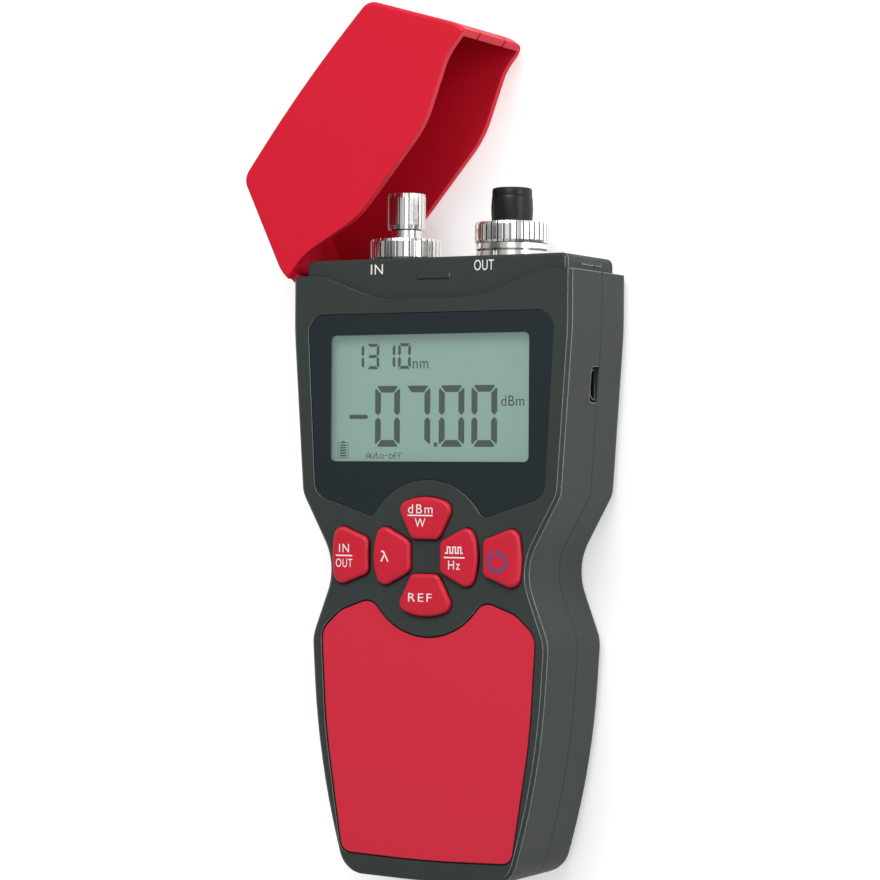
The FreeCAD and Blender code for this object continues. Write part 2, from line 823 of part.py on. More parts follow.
def catch_loop():
    """Wedge on the neck's right side that the cap's tab snaps over, seen from the front."""
    side = s.shoulder_half - s.neck_side_inset
    return corner_loop([
        (side - s.neck_wall / 2, s.catch_y - s.catch_height / 2, 0),
        (side + s.catch_rise / 2, s.catch_y - s.catch_height / 2, 0),
        (side + s.catch_rise, s.catch_y - s.catch_height / 4, 0),
        (side, s.catch_y + s.catch_height / 2, 0),
        (side - s.neck_wall / 2, s.catch_y + s.catch_height / 2, 0),
    ])


def make_rear_shell():
    body = start_body("rear_shell")
    case = case_outline()
    pad(body, "neck", neck_loop(), "neck_face_inset", "split_height - neck_face_inset")
    dress(body, "Fillet", "neck_fillet",
          lambda edge: level(edge, s.neck_face_inset) and above_foot(edge), "neck_round")
    pad(body, "case", case, "0", "split_height")
    dress(body, "Fillet", "rear_edge", lambda edge: level(edge, 0) and not on_seam(edge), "rear_round")
    dress(body, "Chamfer", "parting_edge", lambda edge: level(edge, s.split_height) and on_flank(edge),
          "parting_edge")
    pocket(body, "case_cavity", grown(case, -s.side_wall), "back_wall", "split_height - back_wall")
    pocket(body, "neck_cavity", neck_loop(s.neck_wall),
           "neck_face_inset + neck_wall", "split_height - neck_face_inset - neck_wall")
    add_hinge(body, "back_wall", "split_height - back_wall", {
        "notch": ("hinge_leaf_inset", "split_height - hinge_leaf_inset"),
        "span": ("hinge_inset", "hinge_knuckle"),
    })
    pad(body, "catch", catch_loop(), "port_z - catch_width / 2",
        "split_height - port_z + catch_width / 2")
    add_port_holes(body)
    pad(body, "bosses", circles(BOSSES, s.boss_radius), "back_wall / 2", "split_height - back_wall / 2")
    pocket(body, "screw_recesses", circles(BOSSES, s.case_screw_recess), "0", "case_screw_seat")
    pocket(body, "screw_holes", circles(BOSSES, s.case_screw_radius + s.screw_gap),
           "case_screw_seat", "split_height - case_screw_seat")
    half_width = s.battery_width / 2 + s.battery_rib_gap
    half_length = s.battery_length / 2 + s.battery_rib_gap
    inner = rectangle(-half_width, s.battery_y - half_length, half_width, s.battery_y + half_length,
                      s.battery_round)
    pad(body, "battery_rib", inner + grown(inner, s.battery_rib_thickness), "back_wall / 2",
        "back_wall / 2 + battery_rib_height")
    board_foot = "split_height + slot_height / 2 - socket_height / 2 - charge_board_thickness"
    pad(body, "charge_posts", circles(CHARGE_POSTS, s.charge_post_radius), "back_wall / 2",
        board_foot + " - back_wall / 2")
    return body


# Front of the case: lens, label, keys

def make_lens():
    body = start_body("display_lens")
    pad(body, "sheet", lens_outline(), "case_depth - lens_sink - lens_thickness", "lens_thickness")
    return body


def make_label():
    body = start_body("front_label")
    pad(body, "plate", label_outline(), "case_depth - label_sink - label_thickness", "label_thickness")
    return body


def make_key(name, outline, turns, radius_name):
    """Key cap with a flange behind the front wall and a stem that presses its switch."""
    body = start_body(name)
    loop = key_loop(outline, turns)
    foot = "case_depth - front_wall - key_rest_gap - key_flange_thickness"
    top = s.case_depth + s.key_rise
    pad(body, "cap", loop, foot, "key_rise + front_wall + key_rest_gap + key_flange_thickness")
    dress(body, "Chamfer", "crown", lambda edge: level(edge, top), "key_edge")
    pad(body, "flange", grown(loop, s.key_flange), foot, "key_flange_thickness")
    stem_x, stem_y = stem_place(turns, getattr(s, radius_name))
    pad(body, "stem", circle(s.key_stem_radius, stem_x, stem_y), "board_top + switch_height - stem_reach",
        foot + " + key_flange_thickness / 2 - board_top - switch_height + stem_reach")
    return body


# Inside the case

def make_board():
    body = start_body("main_board")
    inside = grown(case_outline(), -s.side_wall - s.board_gap)
    loop = within(inside, -s.shoulder_half, s.board_low_y, s.shoulder_half, s.board_high_y)
    pad(body, "plate", loop, "board_top - board_thickness", "board_thickness")
    pocket(body, "holes", circles(POSTS, s.board_screw_radius + s.screw_gap),
           "board_top - board_thickness", "board_thickness")
    return body


def make_switches():
    """Six switch bodies on the board, each with a well for a key's stem."""
    shapes = []
    for name, outline, turns, radius_name in KEYS:
        x, y = stem_place(turns, getattr(s, radius_name))
        side = s.switch_side
        switch = Part.makeBox(side, side, s.switch_height, V(x - side / 2, y - side / 2, s.board_top))
        depth = s.stem_reach + s.key_travel + s.switch_floor_gap
        half = s.key_stem_radius + s.switch_well_gap
        well = Part.makeBox(2 * half, 2 * half, depth,
                            V(x - half, y - half, s.board_top + s.switch_height - depth))
        shapes.append(switch.cut(well))
    return group("key_switches", shapes)


def screw(radius, length, head_radius, head_height):
    """Pan-head screw pointing up, its head's underside at zero; a cross is cut in the head."""
    head = Part.makeCylinder(head_radius, head_height, V(0, 0, -head_height))
    whole = head.fuse(Part.makeCylinder(radius, length))
    arm = head_radius * 1.3
    slot = head_radius / 4
    for size_x, size_y in ((arm, slot), (slot, arm)):
        cut = Part.makeBox(size_x, size_y, head_height, V(-size_x / 2, -size_y / 2, -head_height * 1.5))
        whole = whole.cut(cut)
    return whole.removeSplitter()


def make_case_screws():
    one = screw(s.case_screw_radius, s.case_screw_length, s.case_screw_head, s.case_screw_head_height)
    return group("case_screws", [one.translated(V(x, y, s.case_screw_seat)) for x, y in BOSSES])


def make_board_screws():
    one = screw(s.board_screw_radius, s.board_screw_length, s.board_screw_head, s.board_screw_head_height)
    seat = s.board_top - s.board_thickness
    return group("board_screws", [one.translated(V(x, y, seat)) for x, y in POSTS])


def make_display():
    """Display glass behind the window, its backlight and the strip that joins it to the board."""
    glass_top = "case_depth - front_wall - pack_gap"
    under = glass_top + " - glass_thickness"
    room = under + " - board_top"
    low = "window_y - glass_height / 2"
    glass = box("display_glass", ("glass_width", "glass_height", "glass_thickness"),
                ("-glass_width / 2", low, under))
    light = box("backlight", ("glass_width", "glass_height - strip_depth - pack_gap", room),
                ("-glass_width / 2", low + " + strip_depth + pack_gap", "board_top"))
    strip = box("display_connector", ("strip_width", "strip_depth", room),
                ("-strip_width / 2", low, "board_top"))
    return [glass, light, strip]


def make_battery():
    body = start_body("battery_cell")
    half_width = s.battery_width / 2
    half_length = s.battery_length / 2
    loop = rectangle(-half_width, s.battery_y - half_length, half_width, s.battery_y + half_length,
                     s.battery_round)
    pad(body, "cell", loop, "back_wall + pad_thickness", "battery_thickness")
    foam = box("battery_pad", ("battery_width - 2 * battery_round", "battery_length - 2 * battery_round",
                               "pad_thickness"),
               ("battery_round - battery_width / 2", "battery_y - battery_length / 2 + battery_round",
                "back_wall"))
    return [body, foam]


CHARGE_POSTS = [
    (s.charge_board_x + s.charge_post_inset,
     s.slot_y + side * (s.charge_board_length / 2 - s.charge_post_inset))
    for side in (1, -1)
]


def make_charging():
    """Charging socket, open to the slot in the case's right side, on a small board of its own."""
    bottom = "split_height + slot_height / 2 - socket_height / 2"
    board = box("charge_board", ("charge_board_width", "charge_board_length", "charge_board_thickness"),
                ("charge_board_x", "slot_y - charge_board_length / 2", bottom + " - charge_board_thickness"))
    body = start_body("charge_socket")
    body.Placement = FreeCAD.Placement(
        V(s.socket_mouth - s.socket_depth, s.slot_y, s.split_height + s.slot_height / 2),
        FreeCAD.Rotation(V(0, 1, 0), 90))
    high = s.socket_height / 2
    wide = s.socket_width / 2
    corner = s.socket_corner
    places = [(high, -wide), (high, wide), (high - corner, wide), (-high, wide - corner),
              (-high, corner - wide), (high - corner, -wide)]
    outer = corner_loop([(x, y, s.socket_round) for x, y in places])
    pad(body, "shell", outer, "0", "socket_depth")
    pocket(body, "mouth", grown(outer, -s.socket_wall), "socket_wall * 3", "socket_depth")
    tongue = rectangle(-s.socket_wall, -s.tongue_half, s.socket_wall, s.tongue_half)
    pad(body, "tongue", tongue, "socket_wall", "tongue_length")
    return [board, body]


# Ports

def flute_loop(radius, depth, count):
    """Round outline with straight grooves all round it, as cut for grip."""
    loop = []
    step = 2 * math.pi / count
    half = step * s.knurl_land / 2

    def at(turn, distance):
        return V(distance * math.cos(turn), distance * math.sin(turn), 0)

    for index in range(count):
        turn = index * step
        stops = [at(turn - half, radius), at(turn + half, radius), at(turn + step / 2, radius - depth),
                 at(turn + step - half, radius)]
        loop += [Part.LineSegment(start, end) for start, end in zip(stops, stops[1:])]
    return loop


def bevel_corners(radius, height, away):
    """Triangle that takes the edge off a knurled ring at one end."""
    outer = radius + s.knurl_bevel
    run = away * 2 * s.knurl_bevel
    return [(radius - s.knurl_bevel, height, 0), (outer, height, 0), (outer, height + run, 0)]


def port_body(label, end, ferrule):
    """Turned port body: flange behind the neck's wall and a barrel out through it."""
    body = start_body(label)
    back = s.neck_top_y - s.neck_wall - s.port_flange_thickness - s.seat_gap
    front = back + s.port_flange_thickness
    bore = 0 if ferrule else s.fibre_bore_radius
    corners = [(bore, back, 0), (s.port_flange_radius, back, 0), (s.port_flange_radius, front, 0),
               (s.barrel_radius, front, 0), (s.barrel_radius, end, 0)]
    if ferrule:
        corners += [(s.ferrule_radius, end, 0), (s.ferrule_radius, s.ferrule_top, 0), (0, s.ferrule_top, 0)]
    else:
        corners.append((bore, end, 0))
    revolve(body, "turning", corners)
    return body


def knurled(body, radius, depth, count, foot, top):
    """Fluted round bar between two heights of the sheet, with both ends bevelled."""
    pad(body, "grip", flute_loop(radius, depth, int(count)), foot, top + " - " + foot)
    revolve(body, "low_bevel", bevel_corners(radius, getattr(s, foot), 1), cut=True)
    revolve(body, "high_bevel", bevel_corners(radius, getattr(s, top), -1), cut=True)


def adaptor(label, foot_name, top_name, radius, nozzle, bore):
    """Knurled ring screwed over a port's barrel, with a nozzle that takes the fibre plug."""
    body = start_body(label)
    knurled(body, radius, s.knurl_depth, s.knurl_count, foot_name, top_name)
    foot = getattr(s, foot_name)
    ring_top = getattr(s, top_name)
    revolve(body, "nozzle", [(0, ring_top - s.adaptor_roof / 2, 0)] + nozzle)
    roof = ring_top - s.adaptor_roof
    revolve(body, "barrel_bore", [(0, foot, 0), (s.barrel_radius + s.bore_gap, foot, 0),
                                  (s.barrel_radius + s.bore_gap, roof, 0), (0, roof, 0)], cut=True)
    top = nozzle[-1][1]
    low = roof - s.adaptor_roof
    revolve(body, "fibre_bore", [(0, low, 0), (bore, low, 0), (bore, top, 0), (0, top, 0)], cut=True)
    return body


def make_meter_port():
    body = port_body("meter_port_body", s.meter_ring_top - s.adaptor_roof - s.barrel_end_gap, False)
    ring = adaptor("meter_adaptor", "port_foot", "meter_ring_top", s.meter_ring_radius, [
        (s.meter_collar_radius, s.meter_ring_top - s.adaptor_roof / 2, 0),
        (s.meter_collar_radius, s.meter_collar_top, 0),
        (s.meter_nozzle_radius, s.meter_collar_top, 0),
        (s.meter_nozzle_radius, s.meter_nozzle_top, 0),
        (0, s.meter_nozzle_top, 0),
    ], s.fibre_bore_radius)
    cap = start_body("meter_dust_cap")
    knurled(cap, s.meter_cap_radius, s.meter_cap_knurl_depth, s.meter_cap_knurls,
            "meter_cap_foot", "meter_cap_top")
    bore = s.meter_nozzle_radius + s.bore_gap
    roof = s.meter_cap_top - s.meter_cap_roof
    revolve(cap, "thread_bore", [(0, s.meter_cap_foot, 0), (bore, s.meter_cap_foot, 0), (bore, roof, 0),
                                 (0, roof, 0)], cut=True)
    detector = start_body("detector")
    seat = s.neck_top_y - s.neck_wall - s.port_flange_thickness - s.seat_gap
    end = seat - s.detector_length
    revolve(detector, "can", [(0, end, 0), (s.detector_radius, end, 0), (s.detector_radius, seat, 0),
                              (0, seat, 0)])
    pins = [(s.detector_radius / 2, 0), (-s.detector_radius / 2, 0)]
    pad(detector, "legs", circles(pins, s.detector_pin_radius),
        "neck_top_y - neck_wall - port_flange_thickness - seat_gap - detector_length - detector_pins",
        "detector_pins + detector_length / 4")
    for piece in (body, ring, cap, detector):
        place_on_port(piece, -1)
    return [body, ring, cap, detector]


def make_source_port():
    body = port_body("source_port_body", s.source_ring_top - s.adaptor_roof - s.barrel_end_gap, True)
    lock = start_body("source_lock_ring")
    foot = s.port_foot
    bore = s.barrel_radius + s.bore_gap
    middle = (foot + s.lock_ring_top) / 2
    groove = s.lock_ring_groove
    revolve(lock, "ring", [
        (bore, foot, 0), (s.lock_ring_radius, foot, 0), (s.lock_ring_radius, middle - groove, 0),
        (s.lock_ring_radius - groove, middle, 0), (s.lock_ring_radius, middle + groove, 0),
        (s.lock_ring_radius, s.lock_ring_top, 0), (bore, s.lock_ring_top, 0),
    ])
    half = s.lock_ring_slot / 2
    reach = s.lock_ring_radius - s.lock_ring_slot
    run = 2 * s.lock_ring_slot
    for name, start in (("slot_a", reach), ("slot_b", -reach - run)):
        pocket(lock, name, rectangle(-half, start, half, start + run), "neck_top_y",
               "(lock_ring_top - neck_top_y) / 2")
    ring = adaptor("source_adaptor", "source_ring_foot", "source_ring_top", s.source_ring_radius, [
        (s.source_nozzle_radius, s.source_ring_top - s.adaptor_roof / 2, 0),
        (s.source_nozzle_radius, s.source_nozzle_top, 0),
        (0, s.source_nozzle_top, 0),
    ], s.source_nozzle_bore)
    cap = start_body("source_dust_cap")
    cap_foot = s.source_cap_foot
    inner = s.source_nozzle_radius + s.bore_gap
    roof = s.source_cap_top - s.source_cap_roof
    revolve(cap, "moulding", [
        (inner, cap_foot, 0), (s.source_cap_waist, cap_foot, 0),
        (s.source_cap_radius, cap_foot + s.source_cap_taper, 0),
        (s.source_cap_radius, s.source_cap_top - s.source_cap_taper, 0),
        (s.source_cap_waist, s.source_cap_top - s.source_cap_edge, 0),
        (s.source_cap_waist - s.source_cap_edge, s.source_cap_top, 0), (0, s.source_cap_top, 0),
        (0, roof, 0), (inner, roof, 0),
    ])
    laser = start_body("laser_module")
    seat = s.neck_top_y - s.neck_wall - s.port_flange_thickness - s.seat_gap
    end = seat - s.laser_length
    step = seat - s.laser_length / 2
    revolve(laser, "can", [(0, end, 0), (s.laser_neck, end, 0), (s.laser_neck, step, 0),
                           (s.laser_radius, step, 0), (s.laser_radius, seat, 0), (0, seat, 0)])
    for piece in (body, lock, ring, cap, laser):
        place_on_port(piece, 1)
    return [body, lock, ring, cap, laser]


# Flip cap and its pin

def cap_loop(bottom):
    """Closed outline of the cap over a flat bottom."""
    return corner_loop(both_sides([(s.shoulder_half, bottom, 0)] + cap_flank()))


def cap_flank():
    return [
        (s.shoulder_half, s.cap_knee_y, s.cap_knee_round),
        (s.cap_top_half, s.cap_top_corner_y, s.cap_top_round),
        (0, s.cap_crown_y, s.cap_crown_round),
    ]


def make_cap():
    """Hollow cap, drawn closed and then turned open about the hinge."""
    body = start_body("flip_cap")
    rim = s.shoulder_y + s.cap_rim_gap
    right = list(reversed(seam_corners(-s.cap_rim_gap))) + [(s.shoulder_half, rim, 0)] + cap_flank()
    pad(body, "hood", corner_loop(both_sides(right)), "cap_floor_gap", "case_depth - cap_floor_gap")

    def on_rim(edge):
        return edge.BoundBox.YMax < rim + NEAR

    dress(body, "Fillet", "rear_round", lambda edge: level(edge, s.cap_floor_gap) and not on_rim(edge),
          "cap_rear_round")
    dress(body, "Fillet", "front_round", lambda edge: level(edge, s.case_depth) and not on_rim(edge),
          "cap_front_round")
    hollow = grown(cap_loop(s.lens_top_y - s.cap_wall), -s.cap_wall)
    pocket(body, "hollow", hollow, "cap_floor_gap + cap_wall", "case_depth - cap_floor_gap - 2 * cap_wall")
    leaf = rectangle(-s.shoulder_half, s.hinge_y, s.cap_wall - s.shoulder_half, rim + s.cap_wall)
    pad(body, "front_leaf", leaf, "case_depth - hinge_inset + hinge_side_gap",
        "hinge_inset - hinge_leaf_inset - 2 * hinge_side_gap")
    pad(body, "rear_leaf", leaf, "hinge_leaf_inset + hinge_side_gap",
        "hinge_inset - hinge_leaf_inset - 2 * hinge_side_gap")
    low = "hinge_inset + hinge_knuckle + hinge_side_gap"
    span = "case_depth - 2 * (hinge_inset + hinge_knuckle + hinge_side_gap)"
    pad(body, "middle_leaf", leaf, low, span)
    pad(body, "barrel", circle(s.hinge_radius, s.hinge_x, s.hinge_y), low, span)
    pocket(body, "pin_hole", circle(s.hinge_pin_radius + s.hinge_pin_gap, s.hinge_x, s.hinge_y), low, span)
    side = s.shoulder_half - s.cap_wall
    recess = rectangle(side - s.cut_run, s.catch_y - s.catch_height,
                       side + s.catch_rise, s.catch_y + s.catch_height)
    pocket(body, "catch_recess", recess, "port_z - catch_width / 2 - hinge_side_gap",
           "catch_width + 2 * hinge_side_gap")
    slit = rectangle(side - s.cut_run, s.shoulder_y - s.cut_run, s.shoulder_half + s.cut_run,
                     rim + s.catch_slit_length)
    pocket(body, "front_slit", slit, "port_z + catch_width / 2 + catch_slit", "catch_slit")
    pocket(body, "rear_slit", slit, "port_z - catch_width / 2 - 2 * catch_slit", "catch_slit")
    body.Placement = FreeCAD.Placement(V(0, 0, 0), FreeCAD.Rotation(Z_AXIS, s.cap_open_angle),
                                       V(s.hinge_x, s.hinge_y, 0))
    return body


def make_pin():
    made = doc.addObject("Part::Cylinder", "hinge_pin")
    made.Label = "hinge_pin"
    made.setExpression("Radius", bound("hinge_pin_radius"))
    made.setExpression("Height", bound("case_depth - 2 * hinge_inset"))
    for axis, text in zip("xyz", ("hinge_x", "hinge_y", "hinge_inset")):
        made.setExpression("Placement.Base." + axis, bound(text))
    return made


made = [make_front_shell(), make_rear_shell(), make_lens(), make_label()]
made += [make_key(*key) for key in KEYS]
made += [make_board(), make_switches(), make_case_screws(), make_board_screws()]
made += make_display() + make_battery() + make_charging()
made += make_meter_port() + make_source_port()
made += [make_cap(), make_pin()]
doc.recompute()

for item in doc.Objects:
    if "Invalid" in item.State or "Error" in item.State:
        raise RuntimeError(item.Name + " failed")
for item in made:
    if item.Shape.isNull() or not item.Shape.isValid():
        raise RuntimeError(item.Label + " has no valid shape")

os.makedirs("parts", exist_ok=True)
for item in made:
    item.Shape.exportStep("parts/" + item.Label + ".step")
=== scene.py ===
import math

import bmesh
import bpy
from mathutils import Matrix, Vector


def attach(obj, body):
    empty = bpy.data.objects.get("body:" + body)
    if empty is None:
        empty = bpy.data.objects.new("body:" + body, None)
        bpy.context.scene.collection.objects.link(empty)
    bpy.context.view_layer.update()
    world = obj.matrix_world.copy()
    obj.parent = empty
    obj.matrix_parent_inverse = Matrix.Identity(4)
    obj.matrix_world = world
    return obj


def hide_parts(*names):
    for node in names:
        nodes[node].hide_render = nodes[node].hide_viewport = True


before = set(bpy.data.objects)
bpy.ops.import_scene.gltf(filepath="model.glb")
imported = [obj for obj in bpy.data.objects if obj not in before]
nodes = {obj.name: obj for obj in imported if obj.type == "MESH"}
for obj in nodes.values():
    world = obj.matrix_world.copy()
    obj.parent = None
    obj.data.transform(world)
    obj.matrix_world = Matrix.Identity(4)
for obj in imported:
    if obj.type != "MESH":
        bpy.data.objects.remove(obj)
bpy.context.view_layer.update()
MM = 0.001

# Case shells: two injection-moulded ABS shells, screwed together from the back; the neck at the
# top stands inside the cap. Fine spark-eroded grain gives a soft, even grey with hardly any
# gloss. A painted highlight makes the edges at the right pale, and painted shade darkens the
# nooks.

PARTING_Z = 15.7


def linear(hex_text):
    """An sRGB hex colour as linear red, green, blue and full alpha."""
    values = [int(hex_text[i:i + 2], 16) / 255 for i in (1, 3, 5)]
    return (*(v / 12.92 if v <= 0.04045 else ((v + 0.055) / 1.055) ** 2.4 for v in values), 1)


def add(tree, kind, inputs=None, **settings):
    """A node with its settings; an input is a value or the socket that feeds it."""
    node = tree.nodes.new(kind)
    for name, value in settings.items():
        setattr(node, name, value)
    for socket, value in (inputs or {}).items():
        if isinstance(value, bpy.types.NodeSocket):
            tree.links.new(value, node.inputs[socket])
        else:
            node.inputs[socket].default_value = value
    return node


def blank(name):
    """A new material with an empty node tree, and that tree."""
    material = bpy.data.materials.new(name)
    material.use_nodes = True
    material.node_tree.nodes.clear()
    return material, material.node_tree


def shade_nooks(tree, base, openness, nook_shade):
    """The base colour with painted shade in the nooks. The shade has a colour, its share in a
    nook, how far a nook reaches, and how open it is where the shade is full and where it ends."""
    nook_darkening = add(tree, "ShaderNodeMapRange", {
        "Value": openness, "From Min": nook_shade["full"], "From Max": nook_shade["none"],
        "To Min": nook_shade["share"], "To Max": 0.0})
    return add(tree, "ShaderNodeMix", {
        0: nook_darkening.outputs[0], 6: base, 7: linear(nook_shade["colour"])}, data_type="RGBA").outputs[2]


def grained(name, light, dark, roughness, grain_mm, depth_mm, stain_mm=18.0, soft_mm=0.0,
            edge_highlight=None, nook_shade=None, **sockets):
    """Surface with a fine grain, which stirs the colour and stands up as bump, under broad stains.
    A pixel of the picture is 0.25 mm wide, so finer grain is drawn coarser than it is, to show.
    soft_mm rounds the edges to the eye. A painted highlight in a paler colour lies on edges that
    turn to the right, and painted shade darkens the nooks, where these colours are given."""
    material, tree = blank(name)
    place = add(tree, "ShaderNodeTexCoord").outputs["Object"]
    grain = add(tree, "ShaderNodeTexNoise", {
        "Vector": place, "Scale": 1 / (grain_mm * MM), "Detail": 2.0}).outputs["Fac"]
    broad = add(tree, "ShaderNodeTexNoise", {
        "Vector": place, "Scale": 1 / (stain_mm * MM), "Detail": 3.0}).outputs["Fac"]
    blend = add(tree, "ShaderNodeMix", {0: 0.5, 2: grain, 3: broad})
    base = add(tree, "ShaderNodeMix", {0: blend.outputs[0], 6: linear(dark), 7: linear(light)},
               data_type="RGBA").outputs[2]
    rough = add(tree, "ShaderNodeMapRange", {
        "Value": broad, "From Min": 0.3, "From Max": 0.7,
        "To Min": roughness - 0.04, "To Max": roughness + 0.04})
    bump = add(tree, "ShaderNodeBump", {
        "Height": grain, "Distance": depth_mm * MM, "Strength": 0.6})
    if soft_mm:
        soft = add(tree, "ShaderNodeBevel", {"Radius": soft_mm * MM}, samples=6).outputs["Normal"]
        tree.links.new(soft, bump.inputs["Normal"])
    if nook_shade:
        openness = add(tree, "ShaderNodeAmbientOcclusion", {"Distance": nook_shade["reach_mm"] * MM},
                       samples=6).outputs["AO"]
    if edge_highlight:
        # Painted highlight where the rounded normal leaves the face's own, on edges that turn to
        # the right, in the open, and not along the parting line.
        flat = add(tree, "ShaderNodeNewGeometry").outputs["Normal"]
        facing = add(tree, "ShaderNodeVectorMath", {0: soft, 1: flat}, operation="DOT_PRODUCT")
        edge = add(tree, "ShaderNodeMapRange", {
            "Value": facing.outputs["Value"], "From Min": 0.965, "From Max": 0.999,
            "To Min": 1.0, "To Max": 0.0})
        aside = add(tree, "ShaderNodeSeparateXYZ", {"Vector": soft})
        right = add(tree, "ShaderNodeMapRange", {
            "Value": aside.outputs["X"], "From Min": 0.15, "From Max": 0.45})
        height = add(tree, "ShaderNodeSeparateXYZ", {"Vector": place})
        parting = add(tree, "ShaderNodeMath", {
            0: height.outputs["Z"], 1: PARTING_Z * MM, 2: 0.5 * MM}, operation="COMPARE")
        open_air = add(tree, "ShaderNodeMapRange", {
            "Value": openness, "From Min": 0.75, "From Max": 0.95})
        highlit_edges = add(tree, "ShaderNodeMath", {0: edge.outputs[0], 1: right.outputs[0]},
                     operation="MULTIPLY")
        clear_of = add(tree, "ShaderNodeMath", {0: open_air.outputs[0], 1: parting.outputs[0]},
                       operation="SUBTRACT", use_clamp=True)
        share = add(tree, "ShaderNodeMath", {0: highlit_edges.outputs[0], 1: clear_of.outputs[0]},
                    operation="MULTIPLY")
        base = add(tree, "ShaderNodeMix", {0: share.outputs[0], 6: base, 7: linear(edge_highlight)},
                   data_type="RGBA").outputs[2]
    # Painted shade: the colour is darker in the nooks.
    if nook_shade:
        base = shade_nooks(tree, base, openness, nook_shade)
    shader = add(tree, "ShaderNodeBsdfPrincipled", {
        "Base Color": base, "Roughness": rough.outputs[0], "Normal": bump.outputs["Normal"],
        **sockets})
    add(tree, "ShaderNodeOutputMaterial", {"Surface": shader.outputs["BSDF"]})
    return material


def placed(name, data):
    """An object at the origin that holds a mesh, curve, lamp or camera and gives it its name."""
    data.name = name
    piece = bpy.data.objects.new(name, data)
    bpy.context.scene.collection.objects.link(piece)
    return piece


def dress(piece, material):
    """Gives a piece or a CAD node one material in place of its own."""
    piece.data.materials.clear()
    piece.data.materials.append(material)


def finished(piece, material, body, *replaced):
    """Dresses a piece, sets it on its body and hides the CAD nodes it stands for."""
    dress(piece, material)
    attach(piece, body)
    if replaced:
        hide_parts(*replaced)


def welded(mesh, reach_mm):
    """A bmesh of a mesh, with the points that lie together joined."""
    shape = bmesh.new()
    shape.from_mesh(mesh)
    bmesh.ops.remove_doubles(shape, verts=shape.verts, dist=reach_mm * MM)
    return shape


def as_mesh(shape, angle):
    """The mesh of a bmesh, shaded smooth except over edges that turn by more than the angle."""
    for face in shape.faces:
        face.smooth = True
    for line in shape.edges:
        line.smooth = line.calc_face_angle(math.pi) < math.radians(angle)
    mesh = bpy.data.meshes.new("shape")
    shape.to_mesh(mesh)
    shape.free()
    return mesh


def weighted(piece):
    """Lets the large faces set the normals, so that they look flat beside their round rims."""
    weigh = piece.modifiers.new("weigh", "WEIGHTED_NORMAL")
    weigh.keep_sharp = True
    weigh.weight = 100
    return piece


def smooth_copy(node, name, material, body):
    """A copy of a CAD node, with its fillets shaded smooth and its edges kept."""
    mesh = as_mesh(welded(nodes[node].data, reach_mm=0.002), angle=32)
    if "custom_normal" in mesh.attributes:
        mesh.attributes.remove(mesh.attributes["custom_normal"])
    finished(weighted(placed(name, mesh)), material, body, node)


# The pale edge colour is a painted highlight, and the near black one is painted shade in the
# nooks.
case_abs = grained(
    "moulded_abs_grey", "#3b413f", "#343a38", 0.46, grain_mm=0.35, depth_mm=0.012, soft_mm=0.25,
    edge_highlight="#aeb3b1",
    nook_shade={"colour": "#0b0c0c", "share": 0.9, "reach_mm": 0.9, "full": 0.25, "none": 0.65},
    **{"IOR": 1.53, "Specular IOR Level": 0.08})
smooth_copy("front_shell", "front_case", case_abs, "case")
smooth_copy("rear_shell", "rear_case", case_abs, "case")

# Display: a liquid-crystal cell behind the lens. Its reflective polariser on glass gives an even
# grey-green ground, with a faint painted glow that lifts the shade near the window's rims. Its
# nearly black segments, the unit words, the battery and the dots are one etched layer just over
# it.

SEGMENT_Z = 29.84
FIGURE_FOOT, SMALL_FOOT = 31.95, 51.35
DOT_PITCH = 0.235
DOT_WIDTH = 0.92 * DOT_PITCH
INK_HALF = 0.012


def block(x0, y0, x1, y1):
    """The corners of an upright rectangle."""
    return [(x0, y0), (x1, y0), (x1, y1), (x0, y1)]


def figure(x, y, width, height, stroke, gap, lit):
    """Polygons of one seven-segment figure; lit names its segments from a to g as makers do.
    Each is drawn from the figure's middle, as a lying or a standing one, and mirrored."""
    across, along = width / 2, height / 2
    half, cut = stroke / 2, stroke * 0.45
    slant = cut / 2 + gap / 2
    lying = [(across - cut - gap, along), (across - slant - gap, along - slant + gap),
             (across - stroke - gap, along - stroke)]
    standing = [(across, along - cut - gap), (across, half + gap), (across - half, gap),
                (across - stroke, half + gap), (across - stroke, along - stroke - gap),
                (across - slant + gap, along - slant - gap)]
    bridge = [(across - half - gap, 0), (across - stroke - gap, half)]
    bridge_foot = [(-across + stroke + gap, -half), (across - stroke - gap, -half)]
    shapes = {
        "a": lying + [(-px, py) for px, py in reversed(lying)],
        "d": [(px, -py) for px, py in lying] + [(-px, -py) for px, py in reversed(lying)],
        "g": bridge + [(-px, py) for px, py in reversed(bridge)] + bridge_foot,
        "b": standing, "c": [(px, -py) for px, py in standing],
        "e": [(-px, -py) for px, py in standing], "f": [(-px, py) for px, py in standing],
    }
    return [[(x + across + px, y + along + py) for px, py in shapes[name]] for name in lit]


def layer(name, polygons, low, high):
    """Polygons of (x, y) in mm, each made a thin solid between two heights."""
    shape = bmesh.new()
    for polygon in polygons:
        face = shape.faces.new([shape.verts.new((x * MM, y * MM, low * MM)) for x, y in polygon])
        lifted = bmesh.ops.extrude_face_region(shape, geom=[face])
        moved = [item for item in lifted["geom"] if isinstance(item, bmesh.types.BMVert)]
        bmesh.ops.translate(shape, verts=moved, vec=(0, 0, (high - low) * MM))
    bmesh.ops.recalc_face_normals(shape, faces=shape.faces)
    mesh = bpy.data.meshes.new(name)
    shape.to_mesh(mesh)
    shape.free()
    return placed(name, mesh)


def plain_mesh(drawn):
    """The mesh that an object comes to with its curve or modifiers; the object itself goes."""
    bpy.context.view_layer.update()
    depsgraph = bpy.context.evaluated_depsgraph_get()
    mesh = bpy.data.meshes.new_from_object(drawn.evaluated_get(depsgraph))
    bpy.data.objects.remove(drawn)
    return mesh


